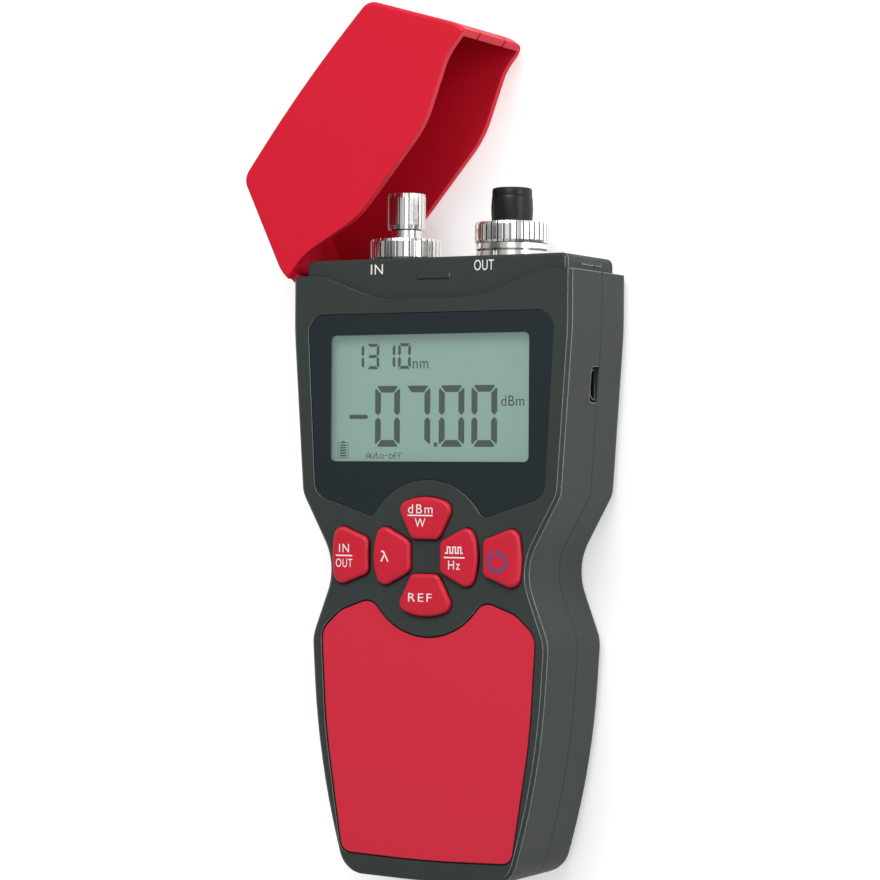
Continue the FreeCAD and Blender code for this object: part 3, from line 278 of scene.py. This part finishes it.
def words(name, text, box, height, material, body, spacing):
    """Letters as thin as ink, fitted to a box (x0, y0, x1, y1) in mm, lying at a height."""
    curve = bpy.data.curves.new(name, "FONT")
    curve.body = text
    curve.space_character = spacing
    curve.extrude = 0.01
    mesh = plain_mesh(placed(name + "_drawn", curve))
    xs = [v.co.x for v in mesh.vertices]
    ys = [v.co.y for v in mesh.vertices]
    x0, y0, x1, y1 = box
    for v in mesh.vertices:
        v.co.x = (x0 + (v.co.x - min(xs)) / (max(xs) - min(xs)) * (x1 - x0)) * MM
        v.co.y = (y0 + (v.co.y - min(ys)) / (max(ys) - min(ys)) * (y1 - y0)) * MM
        v.co.z = (height + (INK_HALF if v.co.z > 0 else -INK_HALF)) * MM
    finished(placed(name, mesh), material, body)


# The emission is a painted glow that lifts the shade; the cell is no lamp.
dress(nodes["display_glass"], grained(
    "reflective_polariser", "#6f8d83", "#68857b", 0.42, grain_mm=0.25, depth_mm=0.002,
    stain_mm=30.0,
    **{"IOR": 1.5, "Emission Color": linear("#8fb3a6"), "Emission Strength": 0.24}))

# The reading in large figures and the wavelength in small ones, each by its left edge.
segments = []
for x, lit in ((-16.65, "abcdef"), (-7.97, "abc"), (1.67, "abcdef"), (10.85, "abcdef")):
    segments += figure(x, FIGURE_FOOT, width=7.2, height=15.2, stroke=1.68, gap=0.2, lit=lit)
for x, lit in ((-23.6, "bc"), (-19.2, "abcdg"), (-14.55, "bc"), (-10.08, "abcdef")):
    segments += figure(x, SMALL_FOOT, width=3.66, height=6.4, stroke=0.78, gap=0.13, lit=lit)
minus = [(-24.3, 39.45), (-23.9, 38.92), (-19.05, 38.92), (-18.65, 39.45), (-19.05, 39.98),
         (-23.9, 39.98)]
point = block(0.3, FIGURE_FOOT, 1.25, 33.0)
battery = [block(-27.5, 29.1, -24.4, 29.25), block(-27.5, 29.25, -27.35, 32.85),
           block(-24.55, 29.25, -24.4, 32.85), block(-27.5, 32.85, -24.4, 33.0),
           block(-26.4, 33.0, -25.5, 33.35)]
charge = [block(-26.9, low, -25.0, low + 0.38)
          for low in (29.55 + index * 0.64 for index in range(5))]
segments += [minus, point, *battery, *charge]

# "Auto-off" in dots, seven rows high; each row of a letter is a number whose bits are its dots.
dot_letters = {
    "A": (4, 10, 17, 17, 31, 17, 17), "u": (0, 0, 17, 17, 17, 19, 13),
    "t": (8, 8, 28, 8, 8, 9, 6), "o": (0, 0, 14, 17, 17, 17, 14),
    "-": (0, 0, 0, 14, 0, 0, 0), "f": (6, 9, 8, 28, 8, 8, 8),
}
for index, letter in enumerate("Auto-off"):
    for row, bits in enumerate(dot_letters[letter]):
        for column in range(5):
            if bits >> (4 - column) & 1:
                left = -19.2 + (index * 5.6 + column) * DOT_PITCH
                low = 30.65 - (row + 1) * DOT_PITCH
                segments.append(block(left, low, left + DOT_WIDTH, low + DOT_WIDTH))

lcd_ink = grained("dyed_crystal", "#0b2a28", "#072423", 0.5, grain_mm=0.4, depth_mm=0.001,
                  **{"IOR": 1.5, "Specular IOR Level": 0.2})
finished(layer("display_segments", segments, SEGMENT_Z - 0.02, SEGMENT_Z), lcd_ink, "case")
words("display_nanometres", "nm", (-5.85, 51.4, -1.4, 53.25), SEGMENT_Z, lcd_ink, "case", 1.1)
words("display_decibels", "dBm", (19.1, 42.0, 25.5, 44.5), SEGMENT_Z, lcd_ink, "case", 1.05)

# Lens: a sheet of clear acrylic in the shell's seat. All but the window is printed nearly black
# from behind, so it shows as deep gloss; a hard coat keeps it mirror-smooth. In the window it
# shows only as a faint sheen with wiped smears.

LENS_TOP = 32.35


def rounded(corners, steps):
    """Points of a closed outline whose corners (x, y, radius) in mm are rounded."""
    points = []
    for index, (x, y, radius) in enumerate(corners):
        corner = Vector((x, y))
        back = (Vector(corners[index - 1][:2]) - corner).normalized()
        ahead = (Vector(corners[(index + 1) % len(corners)][:2]) - corner).normalized()
        half = back.angle(ahead) / 2
        centre = corner + (back + ahead).normalized() * radius / math.sin(half)
        start = corner + back * radius / math.tan(half) - centre
        side = 1 if back.cross(ahead) < 0 else -1
        turn = side * (math.pi - 2 * half)
        points += [centre + Matrix.Rotation(turn * step / steps, 2) @ start
                   for step in range(steps + 1)]
    return points


def soft_block(x0, y0, x1, y1, radius, steps):
    """Points of an upright rectangle with rounded corners."""
    return rounded([(x, y, radius) for x, y in block(x0, y0, x1, y1)], steps)


def window(margin):
    """Points of the display window, with a margin round it in mm."""
    return soft_block(-28 - margin, 28.3 - margin, 28 + margin, 59.8 + margin, 1.3, 9)


def mirrored(right):
    """Corners of the right side, bottom first, followed by their mirror image."""
    return right + [(-x, y, radius) for x, y, radius in reversed(right) if x]


def arch(arch_y, radius, toe, above):
    """Corner that is rounded into an arch, from its crown to the tangent that meets the toe."""
    side = 1 if above else -1
    across, along = toe[0], side * (toe[1] - arch_y)
    spread = math.atan2(across, along) - math.acos(radius / math.hypot(across, along))
    return (radius * math.tan(spread / 2), arch_y + side * radius, radius)


def plate(name, loops, low, high, edge=0.0, gap=0.0):
    """Flat piece between two heights in mm: an outline, then its holes, with rims rounded by edge;
    gap draws the outline in."""
    curve = bpy.data.curves.new(name, "CURVE")
    curve.dimensions = "2D"
    curve.fill_mode = "BOTH"
    for loop in loops:
        spline = curve.splines.new("POLY")
        spline.points.add(len(loop) - 1)
        for point, (x, y) in zip(spline.points, loop):
            point.co = (x * MM, y * MM, 0, 1)
        spline.use_cyclic_u = True
    curve.extrude = ((high - low) / 2 - edge) * MM
    curve.bevel_depth = edge * MM
    curve.offset = -(edge + gap) * MM
    curve.bevel_resolution = 3
    mesh = plain_mesh(placed(name + "_drawn", curve))
    mesh.transform(Matrix.Translation((0, 0, (low + high) / 2 * MM)))
    shape = welded(mesh, reach_mm=0.001)
    bpy.data.meshes.remove(mesh)
    return weighted(placed(name, as_mesh(shape, angle=35)))


printed_acrylic = grained(
    "printed_acrylic", "#2b3337", "#272f33", 0.1, grain_mm=0.6, depth_mm=0.0005, stain_mm=40.0,
    **{"IOR": 1.49, "Coat Weight": 0.5, "Coat Roughness": 0.03})
lens_toe = (15.7, 14.6, 1.8)
lens_loop = rounded(mirrored([
    arch(6.4, 17.5, lens_toe, above=True), lens_toe, (32.4, 19.9, 4.4), (34.9, 65.05, 4.4)]), 16)
lens_face = plate("lens_face", [lens_loop, window(0)], LENS_TOP - 0.45, LENS_TOP, edge=0.08)
finished(lens_face, printed_acrylic, "case", "display_lens")
lens_back = plate("lens_back", [lens_loop, window(1.2)], LENS_TOP - 1.5, LENS_TOP - 0.46)
finished(lens_back, printed_acrylic, "case", "display_lens")

clear_acrylic, clear_tree = blank("clear_acrylic")
smears = add(clear_tree, "ShaderNodeTexNoise", {
    "Vector": add(clear_tree, "ShaderNodeTexCoord").outputs["Object"],
    "Scale": 1 / (3.846 * MM), "Detail": 2.0})
smeared = add(clear_tree, "ShaderNodeMapRange", {
    "Value": smears.outputs["Fac"], "To Min": 0.03, "To Max": 0.07})
clear = add(clear_tree, "ShaderNodeBsdfPrincipled", {
    "Base Color": linear("#d7e2de"), "Alpha": 0.06, "Roughness": smeared.outputs[0], "IOR": 1.49})
add(clear_tree, "ShaderNodeOutputMaterial", {"Surface": clear.outputs["BSDF"]})
pane = plate("lens_pane", [window(0.02)], LENS_TOP - 0.35, LENS_TOP - 0.05)
finished(pane, clear_acrylic, "case")

# Label: a film of polycarbonate, printed red from behind and stuck in a shallow seat with a thin
# dark joint round it: a real gap, made darker by painted shade on the case. Its face has a velvet
# grain that scatters the light, so it looks finely speckled. It is left bare.

LABEL_FOOT, LABEL_TOP = 31.95, 32.4

label_film = grained(
    "velvet_polycarbonate", "#d4293f", "#c42237", 0.62, grain_mm=0.5, depth_mm=0.03,
    stain_mm=0.9, **{"IOR": 1.58, "Specular IOR Level": 0.22})
label_peak = (15.9, -5.6, 4.0)
label_loop = rounded(mirrored([
    (0, -70.3, 300), (24.1, -69.5, 3.2), (28.95, -38.5, 150), (30.4, -14.0, 5.5),
    (24.9, -8.9, 6.0), label_peak, arch(2.3, 17.3, label_peak, above=False)]), 14)
label = plate("label", [label_loop], LABEL_FOOT, LABEL_TOP, edge=0.06, gap=0.28)
finished(label, label_film, "case", "front_label")

# Keys: caps of silicone rubber on one web behind the front wall, each in a hole with a thin, dark
# gap round it; painted shade darkens their walls and the case round them. Their skin is matt and
# their rims are moulded soft and round; the signs are screen printed in white or blue and lie flat
# and opaque on them.

KEY_TOP, KEY_FOOT, WEB_TOP = 34.0, 28.7, 26.8
RING_CENTRE = Vector((0, 4.85))
STEM_HALF, STEM_ROUND = 1.7, 1.69
NECK_FACE = 29.9
INK_Z, NECK_INK_Z = KEY_TOP + INK_HALF, NECK_FACE + INK_HALF
INK_LINE = 0.34

# The dark red is painted shade on the keys' walls and round their feet.
silicone = grained(
    "silicone_rubber", "#cc2439", "#c01e32", 0.4, grain_mm=0.4, depth_mm=0.004, stain_mm=6.0,
    nook_shade={"colour": "#3c0a12", "share": 0.9, "reach_mm": 2.0, "full": 0.45, "none": 0.92},
    **{"IOR": 1.42, "Specular IOR Level": 0.4, "Subsurface Weight": 0.05,
       "Subsurface Scale": 0.001})
white_ink = grained("white_screen_ink", "#efeaea", "#e2dcdc", 0.5, grain_mm=0.3, depth_mm=0.002,
                    IOR=1.5)
blue_ink = grained("blue_screen_ink", "#6b4680", "#5f3c72", 0.5, grain_mm=0.3, depth_mm=0.002,
                   IOR=1.5)

# Both outlines are drawn at the top of the ring of keys and turned to their places in quarters.
ring_key = mirrored([(3.8, 4.2, 1.9), (8.25, 12.9, 2.5), (0, 15.6, 15.5)])
wing_key = mirrored([(4.4, 16.2, 1.9), (8.1, 25.9, 2.5), (0, 26.9, 24.0)])
for name, corners, quarters, reach in (
        ("unit", ring_key, 0, 9.9), ("wavelength", ring_key, 1, 9.9),
        ("reference", ring_key, 2, 9.9), ("modulation", ring_key, 3, 9.9),
        ("mode", wing_key, 1, 21.5), ("power", wing_key, 3, 21.5)):
    node, body = "key_" + name, name + "_key"
    turned = Matrix.Rotation(quarters * math.pi / 2, 2)
    loop = [turned @ point + RING_CENTRE for point in rounded(corners, 12)]
    finished(plate(node + "_cap", [loop], KEY_FOOT, KEY_TOP, edge=0.95), silicone, body, node)
    x, y = turned @ Vector((0, reach)) + RING_CENTRE
    stem = soft_block(x - STEM_HALF, y - STEM_HALF, x + STEM_HALF, y + STEM_HALF, STEM_ROUND, 5)
    finished(plate(node + "_stem", [stem], WEB_TOP, KEY_FOOT), silicone, body)


def strokes(name, polygons, ink, body):
    """Polygons printed on a key."""
    finished(layer(name, polygons, KEY_TOP, KEY_TOP + 2 * INK_HALF), ink, body)


wavelength = [
    [(-12.2, 5.75), (-11.75, 5.75), (-11.45, 5.45), (-10.4, 3.4), (-10.0, 3.4), (-11.25, 5.85),
     (-11.55, 6.12), (-12.2, 6.12)],
    [(-12.4, 3.4), (-11.95, 3.4), (-11.2, 4.85), (-11.42, 5.28)]]

WAVE_LOW, WAVE_HIGH, WAVE_HALF = 5.7, 7.5, 0.75
wave = [block(5.95, WAVE_LOW, 6.5, WAVE_LOW + INK_LINE)]
for index in range(3):
    rise = 6.5 + index * 2 * WAVE_HALF
    fall = rise + WAVE_HALF
    wave += [block(rise, WAVE_LOW, rise + INK_LINE, WAVE_HIGH),
             block(rise + INK_LINE, WAVE_HIGH - INK_LINE, fall, WAVE_HIGH),
             block(fall, WAVE_LOW, fall + INK_LINE, WAVE_HIGH),
             block(fall + INK_LINE, WAVE_LOW, fall + WAVE_HALF, WAVE_LOW + INK_LINE)]

# The power sign is a ring in short pieces, open at the top, with a bar in its opening.
POWER_X, POWER_Y, OUTER, INNER = 20.5, 4.0, 2.8, 1.9
RING_PIECES, RING_START, PIECE_TURN = 26, 122, 11.4
power = []
for index in range(RING_PIECES):
    first, last = (math.radians(RING_START + step * PIECE_TURN) for step in (index, index + 1))
    power.append([(POWER_X + radius * math.cos(angle), POWER_Y + radius * math.sin(angle))
                  for radius, angle in ((OUTER, first), (OUTER, last), (INNER, last),
                                        (INNER, first))])
power.append(block(20.07, 5.0, 20.93, 6.95))

words("unit_upper", "dBm", (-4.53, 15.5, 2.44, 17.72), INK_Z, white_ink, "unit_key", 1.25)
strokes("unit_rule", [block(-4.67, 14.82, 2.44, 14.82 + INK_LINE)], white_ink, "unit_key")
words("unit_lower", "W", (-2.6, 12.1, 0.41, 14.28), INK_Z, white_ink, "unit_key", 1.0)
words("mode_upper", "IN", (-24.4, 5.5, -21.5, 7.6), INK_Z, white_ink, "mode_key", 1.2)
strokes("mode_rule", [block(-25.3, 4.54, -20.54, 4.54 + INK_LINE)], white_ink, "mode_key")
words("mode_lower", "OUT", (-25.3, 1.8, -20.5, 3.9), INK_Z, white_ink, "mode_key", 1.15)
strokes("wavelength_sign", wavelength, white_ink, "wavelength_key")
words("modulation_lower", "Hz", (6.9, 1.86, 10.2, 4.07), INK_Z, white_ink, "modulation_key", 1.2)
strokes("modulation_rule", [block(5.7, 4.62, 11.48, 4.62 + INK_LINE)], white_ink,
        "modulation_key")
strokes("modulation_wave", wave, white_ink, "modulation_key")
words("reference_sign", "REF", (-4.36, -6.25, 2.28, -4.2), INK_Z, white_ink, "reference_key",
      1.25)
strokes("power_sign", power, blue_ink, "power_key")
words("meter_port_word", "IN", (-18.1, 75.1, -14.6, 77.6), NECK_INK_Z, white_ink, "case", 1.1)
words("source_port_word", "OUT", (11.4, 75.3, 16.9, 77.9), NECK_INK_Z, white_ink, "case", 1.05)

# Fibre ports: turned brass fittings under bright nickel. A port body goes through the neck's
# wall, with a ring knurled in straight grooves on each, and a knurled dust cap on the left one.
# The plating is mirror bright with fine turning marks, and painted shade darkens the grooves.

METER_X, SOURCE_X, PORT_Z = -15.2, 15.2, 17.3
TURNED_SIDES = 72


def plated(name, light, dark, roughness, mark_mm, nook_shade=None):
    """Bright plating over turned metal; the marks run round the port's axis, along Y, under
    clouds of 4 mm."""
    material, tree = blank(name)
    place = add(tree, "ShaderNodeTexCoord").outputs["Object"]
    along = add(tree, "ShaderNodeMapping", {"Vector": place, "Scale": (0.05, 1.0, 0.05)})
    marks = add(tree, "ShaderNodeTexNoise", {
        "Vector": along.outputs[0], "Scale": 1 / (mark_mm * MM), "Detail": 3.0}).outputs["Fac"]
    cloud = add(tree, "ShaderNodeTexNoise", {
        "Vector": place, "Scale": 1 / (4 * MM), "Detail": 2.0}).outputs["Fac"]
    base = add(tree, "ShaderNodeMix", {0: cloud, 6: linear(dark), 7: linear(light)},
               data_type="RGBA").outputs[2]
    # Painted shade: the colour darkens in the grooves.
    if nook_shade:
        nook = add(tree, "ShaderNodeAmbientOcclusion", {"Distance": nook_shade["reach_mm"] * MM},
                   samples=8)
        base = shade_nooks(tree, base, nook.outputs["AO"], nook_shade)
    rough = add(tree, "ShaderNodeMapRange", {
        "Value": marks, "To Min": roughness * 0.7, "To Max": roughness * 1.4})
    bump = add(tree, "ShaderNodeBump", {
        "Height": marks, "Distance": 0.004 * MM, "Strength": 0.5})
    shader = add(tree, "ShaderNodeBsdfPrincipled", {
        "Base Color": base, "Metallic": 1.0, "Roughness": rough.outputs[0],
        "Normal": bump.outputs["Normal"]})
    add(tree, "ShaderNodeOutputMaterial", {"Surface": shader.outputs["BSDF"]})
    return material


def turned_mesh(profile):
    """Solid of revolution about Z from a closed profile of (radius, height) in mm."""
    shape = bmesh.new()
    rings = []
    for radius, height in profile:
        angles = [2 * math.pi * i / TURNED_SIDES for i in range(TURNED_SIDES if radius else 1)]
        rings.append([
            shape.verts.new((radius * MM * math.cos(a), radius * MM * math.sin(a), height * MM))
            for a in angles])
    for low, high in zip(rings, rings[1:] + rings[:1]):
        for i in range(TURNED_SIDES):
            j = (i + 1) % TURNED_SIDES
            corners = [low[i % len(low)], low[j % len(low)],
                       high[j % len(high)], high[i % len(high)]]
            unique = list(dict.fromkeys(corners))
            if len(unique) > 2:
                shape.faces.new(unique)
    bmesh.ops.recalc_face_normals(shape, faces=shape.faces)
    return as_mesh(shape, angle=28)


def knurl_tree(material):
    """Geometry nodes: straight ridges, with flat backs and bevelled ends, round a turned core."""
    tree = bpy.data.node_groups.new("straight_knurl", "GeometryNodeTree")
    for name, kind in (("Core", "Geometry"), ("Radius", "Float"), ("Low", "Float"),
                       ("High", "Float"), ("Width", "Float"), ("Count", "Int")):
        tree.interface.new_socket(name, in_out="INPUT", socket_type="NodeSocket" + kind)
    tree.interface.new_socket("Geometry", in_out="OUTPUT", socket_type="NodeSocketGeometry")
    given = add(tree, "NodeGroupInput").outputs
    span = add(tree, "ShaderNodeMath", {0: given["High"], 1: given["Low"]}, operation="SUBTRACT")
    total = add(tree, "ShaderNodeMath", {0: given["High"], 1: given["Low"]}, operation="ADD")
    middle = add(tree, "ShaderNodeMath", {0: total.outputs[0], 1: 0.5}, operation="MULTIPLY")
    half = add(tree, "ShaderNodeMath", {0: given["Width"], 1: 0.5}, operation="MULTIPLY")
    edge = add(tree, "ShaderNodeMath", {0: span.outputs[0], 1: 0.5}, operation="MULTIPLY")

    # One ridge: a rod whose back is cut flat and whose ends taper to a quarter of its height.
    ridge = add(tree, "GeometryNodeMeshCylinder", {
        "Vertices": 16, "Radius": half.outputs[0], "Depth": span.outputs[0], "Side Segments": 8})
    spot = add(tree, "GeometryNodeInputPosition")
    parts = add(tree, "ShaderNodeSeparateXYZ", {"Vector": spot.outputs[0]})
    reach = add(tree, "ShaderNodeMath", {0: parts.outputs["Z"]}, operation="ABSOLUTE")
    start = add(tree, "ShaderNodeMath", {0: edge.outputs[0], 1: half.outputs[0]},
                operation="SUBTRACT")
    taper = add(tree, "ShaderNodeMapRange", {
        "Value": reach.outputs[0], "From Min": start.outputs[0], "From Max": edge.outputs[0],
        "To Min": 1.0, "To Max": 0.25})
    land = add(tree, "ShaderNodeMath", {0: given["Width"], 1: 0.22}, operation="MULTIPLY")
    back = add(tree, "ShaderNodeMath", {0: parts.outputs["X"], 1: land.outputs[0]},
               operation="MINIMUM")
    low = add(tree, "ShaderNodeMath", {0: back.outputs[0], 1: taper.outputs[0]},
              operation="MULTIPLY")
    thin = add(tree, "ShaderNodeCombineXYZ", {
        "X": low.outputs[0], "Y": parts.outputs["Y"], "Z": parts.outputs["Z"]})
    shaped = add(tree, "GeometryNodeSetPosition", {
        "Geometry": ridge.outputs[0], "Position": thin.outputs[0]})

    # The ridges stand in a ring at half height, each with its back turned outwards.
    ring = add(tree, "GeometryNodeMeshCircle", {
        "Vertices": given["Count"], "Radius": given["Radius"]})
    lift = add(tree, "ShaderNodeCombineXYZ", {"Z": middle.outputs[0]})
    raised = add(tree, "GeometryNodeTransform", {
        "Geometry": ring.outputs[0], "Translation": lift.outputs[0]})
    outwards = add(tree, "ShaderNodeVectorMath", {0: spot.outputs[0], 1: (1.0, 1.0, 0.0)},
                   operation="MULTIPLY")
    turn = add(tree, "FunctionNodeAlignRotationToVector", {"Vector": outwards.outputs[0]},
               axis="X")
    teeth = add(tree, "GeometryNodeInstanceOnPoints", {
        "Points": raised.outputs[0], "Instance": shaped.outputs[0], "Rotation": turn.outputs[0]})
    real = add(tree, "GeometryNodeRealizeInstances", {0: teeth.outputs[0]})
    joined = add(tree, "GeometryNodeJoinGeometry")
    tree.links.new(real.outputs[0], joined.inputs[0])
    tree.links.new(given["Core"], joined.inputs[0])
    dressed = add(tree, "GeometryNodeSetMaterial", {
        "Geometry": joined.outputs[0], "Material": material})
    add(tree, "NodeGroupOutput", {0: dressed.outputs[0]})
    return tree


# The dark grey is painted shade in the grooves of the knurls.
nickel = plated(
    "bright_nickel", "#f4f3f0", "#e8e7e4", 0.2, mark_mm=0.12,
    nook_shade={"colour": "#3a3a3c", "share": 0.85, "reach_mm": 0.5, "full": 0.5, "none": 0.85})
straight_knurl = knurl_tree(nickel)


def knurled(name, profile, radius, low, high, width, count):
    """A turned core with its ridges, made one plain mesh about Z."""
    core = placed(name + "_core", turned_mesh(profile))
    changer = core.modifiers.new("knurl", "NODES")
    changer.node_group = straight_knurl
    values = {"Radius": radius * MM, "Low": low * MM, "High": high * MM, "Width": width * MM,
              "Count": count}
    for item in straight_knurl.interface.items_tree:
        if item.in_out == "INPUT" and item.name in values:
            changer[item.identifier] = values[item.name]
    return plain_mesh(core)


def on_port(name, mesh, x):
    """Lays a mesh turned about Z along the case and moves it onto the port at x."""
    onto = Matrix.Translation((x * MM, 0, PORT_Z * MM))
    mesh.transform(onto @ Matrix.Rotation(-math.pi / 2, 4, "X"))
    return placed(name, mesh)


meter_ring = knurled("meter_ring", [
    (5.96, 79.1), (8.5, 79.1), (8.86, 79.45), (8.86, 84.15), (8.5, 84.5), (4.1, 84.5),
    (3.95, 84.6), (3.95, 86.85), (3.8, 87.0), (3.55, 87.0), (3.55, 93.9), (3.45, 94.0),
    (1.26, 94.0), (1.26, 83.2), (5.96, 83.2),
], radius=8.9, low=79.15, high=84.45, width=1.36, count=36)
finished(on_port("meter_ring", meter_ring, METER_X), nickel, "meter_ring", "meter_adaptor")
meter_cap = knurled("meter_cap", [
    (3.61, 87.1), (4.4, 87.1), (4.66, 87.35), (4.66, 95.9), (4.3, 96.2), (0, 96.2), (0, 94.4),
    (3.61, 94.4),
], radius=4.65, low=87.12, high=96.16, width=1.1, count=24)
finished(on_port("meter_cap", meter_cap, METER_X), nickel, "meter_cap", "meter_dust_cap")
source_ring = knurled("source_ring", [
    (5.96, 82.5), (8.55, 82.5), (8.9, 82.85), (8.9, 87.45), (8.55, 87.8), (4.1, 87.8),
    (4.0, 87.9), (4.0, 94.5), (3.9, 94.6), (2.3, 94.6), (2.3, 86.5), (5.96, 86.5),
], radius=8.95, low=82.55, high=87.75, width=1.36, count=36)
finished(on_port("source_ring", source_ring, SOURCE_X), nickel, "source_ring", "source_adaptor")
for node in ("meter_port_body", "source_port_body"):
    dress(nodes[node], nickel)
smooth_copy("source_lock_ring", "lock_ring", nickel, "case")

# Black dust cap: pulled over the source port's nozzle, and moulded from soft black rubber with a
# slight belly, so it grips by itself. Its skin is satin and a little dusty, with a faint line
# where the mould parts.

BELLY_STEPS = 9

dust_rubber = grained(
    "dusty_rubber", "#191a1c", "#0d0e10", 0.4, grain_mm=0.35, depth_mm=0.02, stain_mm=5.0,
    **{"IOR": 1.52, "Specular IOR Level": 0.24})
profile = [(4.06, 87.9), (4.9, 87.9), (5.02, 88.0)]
profile += [(5.04 + 0.2 * math.sin(math.pi * step / BELLY_STEPS), 88.0 + 6.4 * step / BELLY_STEPS)
            for step in range(1, BELLY_STEPS)]
profile += [(5.02, 94.4), (4.96, 94.5), (5.02, 94.6), (4.98, 95.9), (4.88, 96.2), (4.65, 96.4),
            (4.2, 96.5), (0, 96.5), (0, 94.8), (4.06, 94.8)]
rubber_cap = on_port("rubber_cap", turned_mesh(profile), SOURCE_X)
finished(rubber_cap, dust_rubber, "source_cap", "source_dust_cap")

# Flip cap: one hollow moulding in bright red ABS that swings on a steel pin at the left. It is
# glossier than the case and a deeper red inside, where light bounces from wall to wall.

cap_abs = grained(
    "moulded_abs_red", "#d0152f", "#c9112b", 0.5, grain_mm=0.3, depth_mm=0.006, stain_mm=25.0,
    soft_mm=0.3, **{"IOR": 1.53, "Specular IOR Level": 0.22})
smooth_copy("flip_cap", "flip_cap_shell", cap_abs, "cap")

# Metal and inner pieces: screws, pin, boards, cell and socket keep their CAD shapes. Each gets
# the finish it comes with: dull zinc on the screws, bright drawn steel on the pin, gold on the
# cans, glossy solder mask on the boards, satin foil round the cell, matt foam under it.

zinc = plated("zinc_plated_steel", "#b9bcc0", "#9da1a6", 0.3, mark_mm=0.2)
board_mask = grained("solder_mask", "#1e6a3a", "#17552e", 0.35, grain_mm=0.8, depth_mm=0.004,
                     IOR=1.55)
finishes = {
    "case_screws": zinc,
    "board_screws": zinc,
    "hinge_pin": plated("drawn_steel", "#bfc0c2", "#a9aaac", 0.25, mark_mm=0.3),
    "charge_socket": plated("blackened_steel", "#6c6c6d", "#4b4b4c", 0.3, mark_mm=0.15),
    "battery_cell": plated("cell_foil", "#aeb4ba", "#9aa0a7", 0.35, mark_mm=0.8),
    "detector": plated("gold_plating", "#e0c07a", "#c9a862", 0.22, mark_mm=0.15),
    "laser_module": plated("gilt_can", "#dcbc78", "#c4a45e", 0.22, mark_mm=0.15),
    "main_board": board_mask,
    "charge_board": board_mask,
    "key_switches": grained("switch_resin", "#26272a", "#1d1e20", 0.45, grain_mm=0.3,
                            depth_mm=0.003, IOR=1.55),
    "backlight": grained("diffuser_sheet", "#eceae4", "#e2e0d8", 0.55, grain_mm=0.3,
                         depth_mm=0.002, IOR=1.5),
    "display_connector": grained("striped_elastomer", "#b7a9a0", "#7d7370", 0.6, grain_mm=0.2,
                                 depth_mm=0.004, IOR=1.42),
    "battery_pad": grained("cell_foam", "#2b2b2b", "#202020", 0.9, grain_mm=0.6, depth_mm=0.05,
                           IOR=1.45),
}
for node, material in finishes.items():
    dress(nodes[node], material)

# Floor, light and camera: a pale opal sheet, faintly lit from below, as for a catalogue picture.
# A large soft box stands beyond the ports, a wide one in front and a narrow one at the right that
# catches the edges. Two black cards keep gloss deep and draw the dark bands in the bright metal.

FLOOR_Z = -0.0002


def sheet(name, corners, material):
    """A flat sheet with four corners in metres."""
    mesh = bpy.data.meshes.new(name)
    mesh.from_pydata(corners, [], [(0, 1, 2, 3)])
    mesh.materials.append(material)
    return placed(name, mesh)


def soft_box(name, place, aim, width, height, watts, spread=180):
    """A rectangular soft box at a place in metres, turned towards its aim."""
    lamp = bpy.data.lights.new(name, "AREA")
    lamp.shape = "RECTANGLE"
    lamp.size, lamp.size_y, lamp.energy = width, height, watts
    lamp.spread = math.radians(spread)
    box = placed(name, lamp)
    box.location = place
    box.rotation_euler = (Vector(aim) - Vector(place)).to_track_quat("-Z", "Y").to_euler()


def card(name, place, aim, width, height):
    """A black card at a place in metres that faces its aim. It is mirrored by gloss and metal and
    keeps light off, and no camera sees it."""
    turn = (Vector(aim) - Vector(place)).to_track_quat("Z", "Y").to_matrix()
    corners = [turn @ Vector((x, y, 0)) + Vector(place)
               for x, y in block(-width / 2, -height / 2, width / 2, height / 2)]
    piece = sheet(name, corners, black_flock)
    piece.visible_camera = False


opal = grained("lit_opal_sheet", "#e4e4e4", "#e0e0e0", 0.85, grain_mm=0.8, depth_mm=0.01,
               **{"Emission Color": linear("#ffffff"), "Emission Strength": 0.42})
floor = sheet("opal_floor", [(x, y, FLOOR_Z) for x, y in block(-4, -4, 4, 4)], opal)

world = bpy.data.worlds.new("studio")
world.use_nodes = True
background = world.node_tree.nodes["Background"]
background.inputs["Color"].default_value = linear("#ffffff")
background.inputs["Strength"].default_value = 0.46
bpy.context.scene.world = world
bpy.context.scene.view_settings.view_transform = "Standard"

soft_box("key_box", (0.12, 0.78, 0.9), (0, 0.04, 0), width=0.6, height=0.6, watts=9.0)
soft_box("front_box", (0.55, 0.08, 1.1), (0, 0.06, 0.02), width=1.0, height=0.5, watts=1.6)
soft_box("edge_box", (0.5, 0.22, 0.16), (-0.02, 0.12, 0.02), width=0.4, height=0.16, watts=0.17,
         spread=60)

black_flock = grained("black_flock", "#050505", "#030303", 0.9, grain_mm=0.8, depth_mm=0.02,
                      IOR=1.2)
card("front_card", (-0.42, 0.02, 0.80), (0, 0.02, 0.03), width=0.34, height=0.62)
card("side_card", (0.28, -0.27, 0.15), (0, -0.27, 0.15), width=0.4, height=0.3)

# The camera stands back from a point on the case, turned about it as the photo was taken: to the
# right, a little from below, and with a slight roll. Its focal length in pixels is the photo's.
LOOK_AT = Vector((3.55, 33.6, 32.5))
DISTANCE = 698.7
RIGHT, BELOW, ROLL = math.radians(29.36), math.radians(0.63), math.radians(0.37)
FOCAL_PX, PICTURE_PX = 2839, 880

lens = bpy.data.cameras.new("camera")
lens.lens = lens.sensor_width * FOCAL_PX / PICTURE_PX
lens.clip_start = 0.01
camera = placed("camera", lens)
camera.matrix_world = (
    Matrix.Translation(LOOK_AT * MM) @ Matrix.Rotation(RIGHT, 4, "Y")
    @ Matrix.Rotation(BELOW, 4, "X") @ Matrix.Rotation(ROLL, 4, "Z")
    @ Matrix.Translation((0, 0, DISTANCE * MM)))
bpy.context.scene.camera = camera
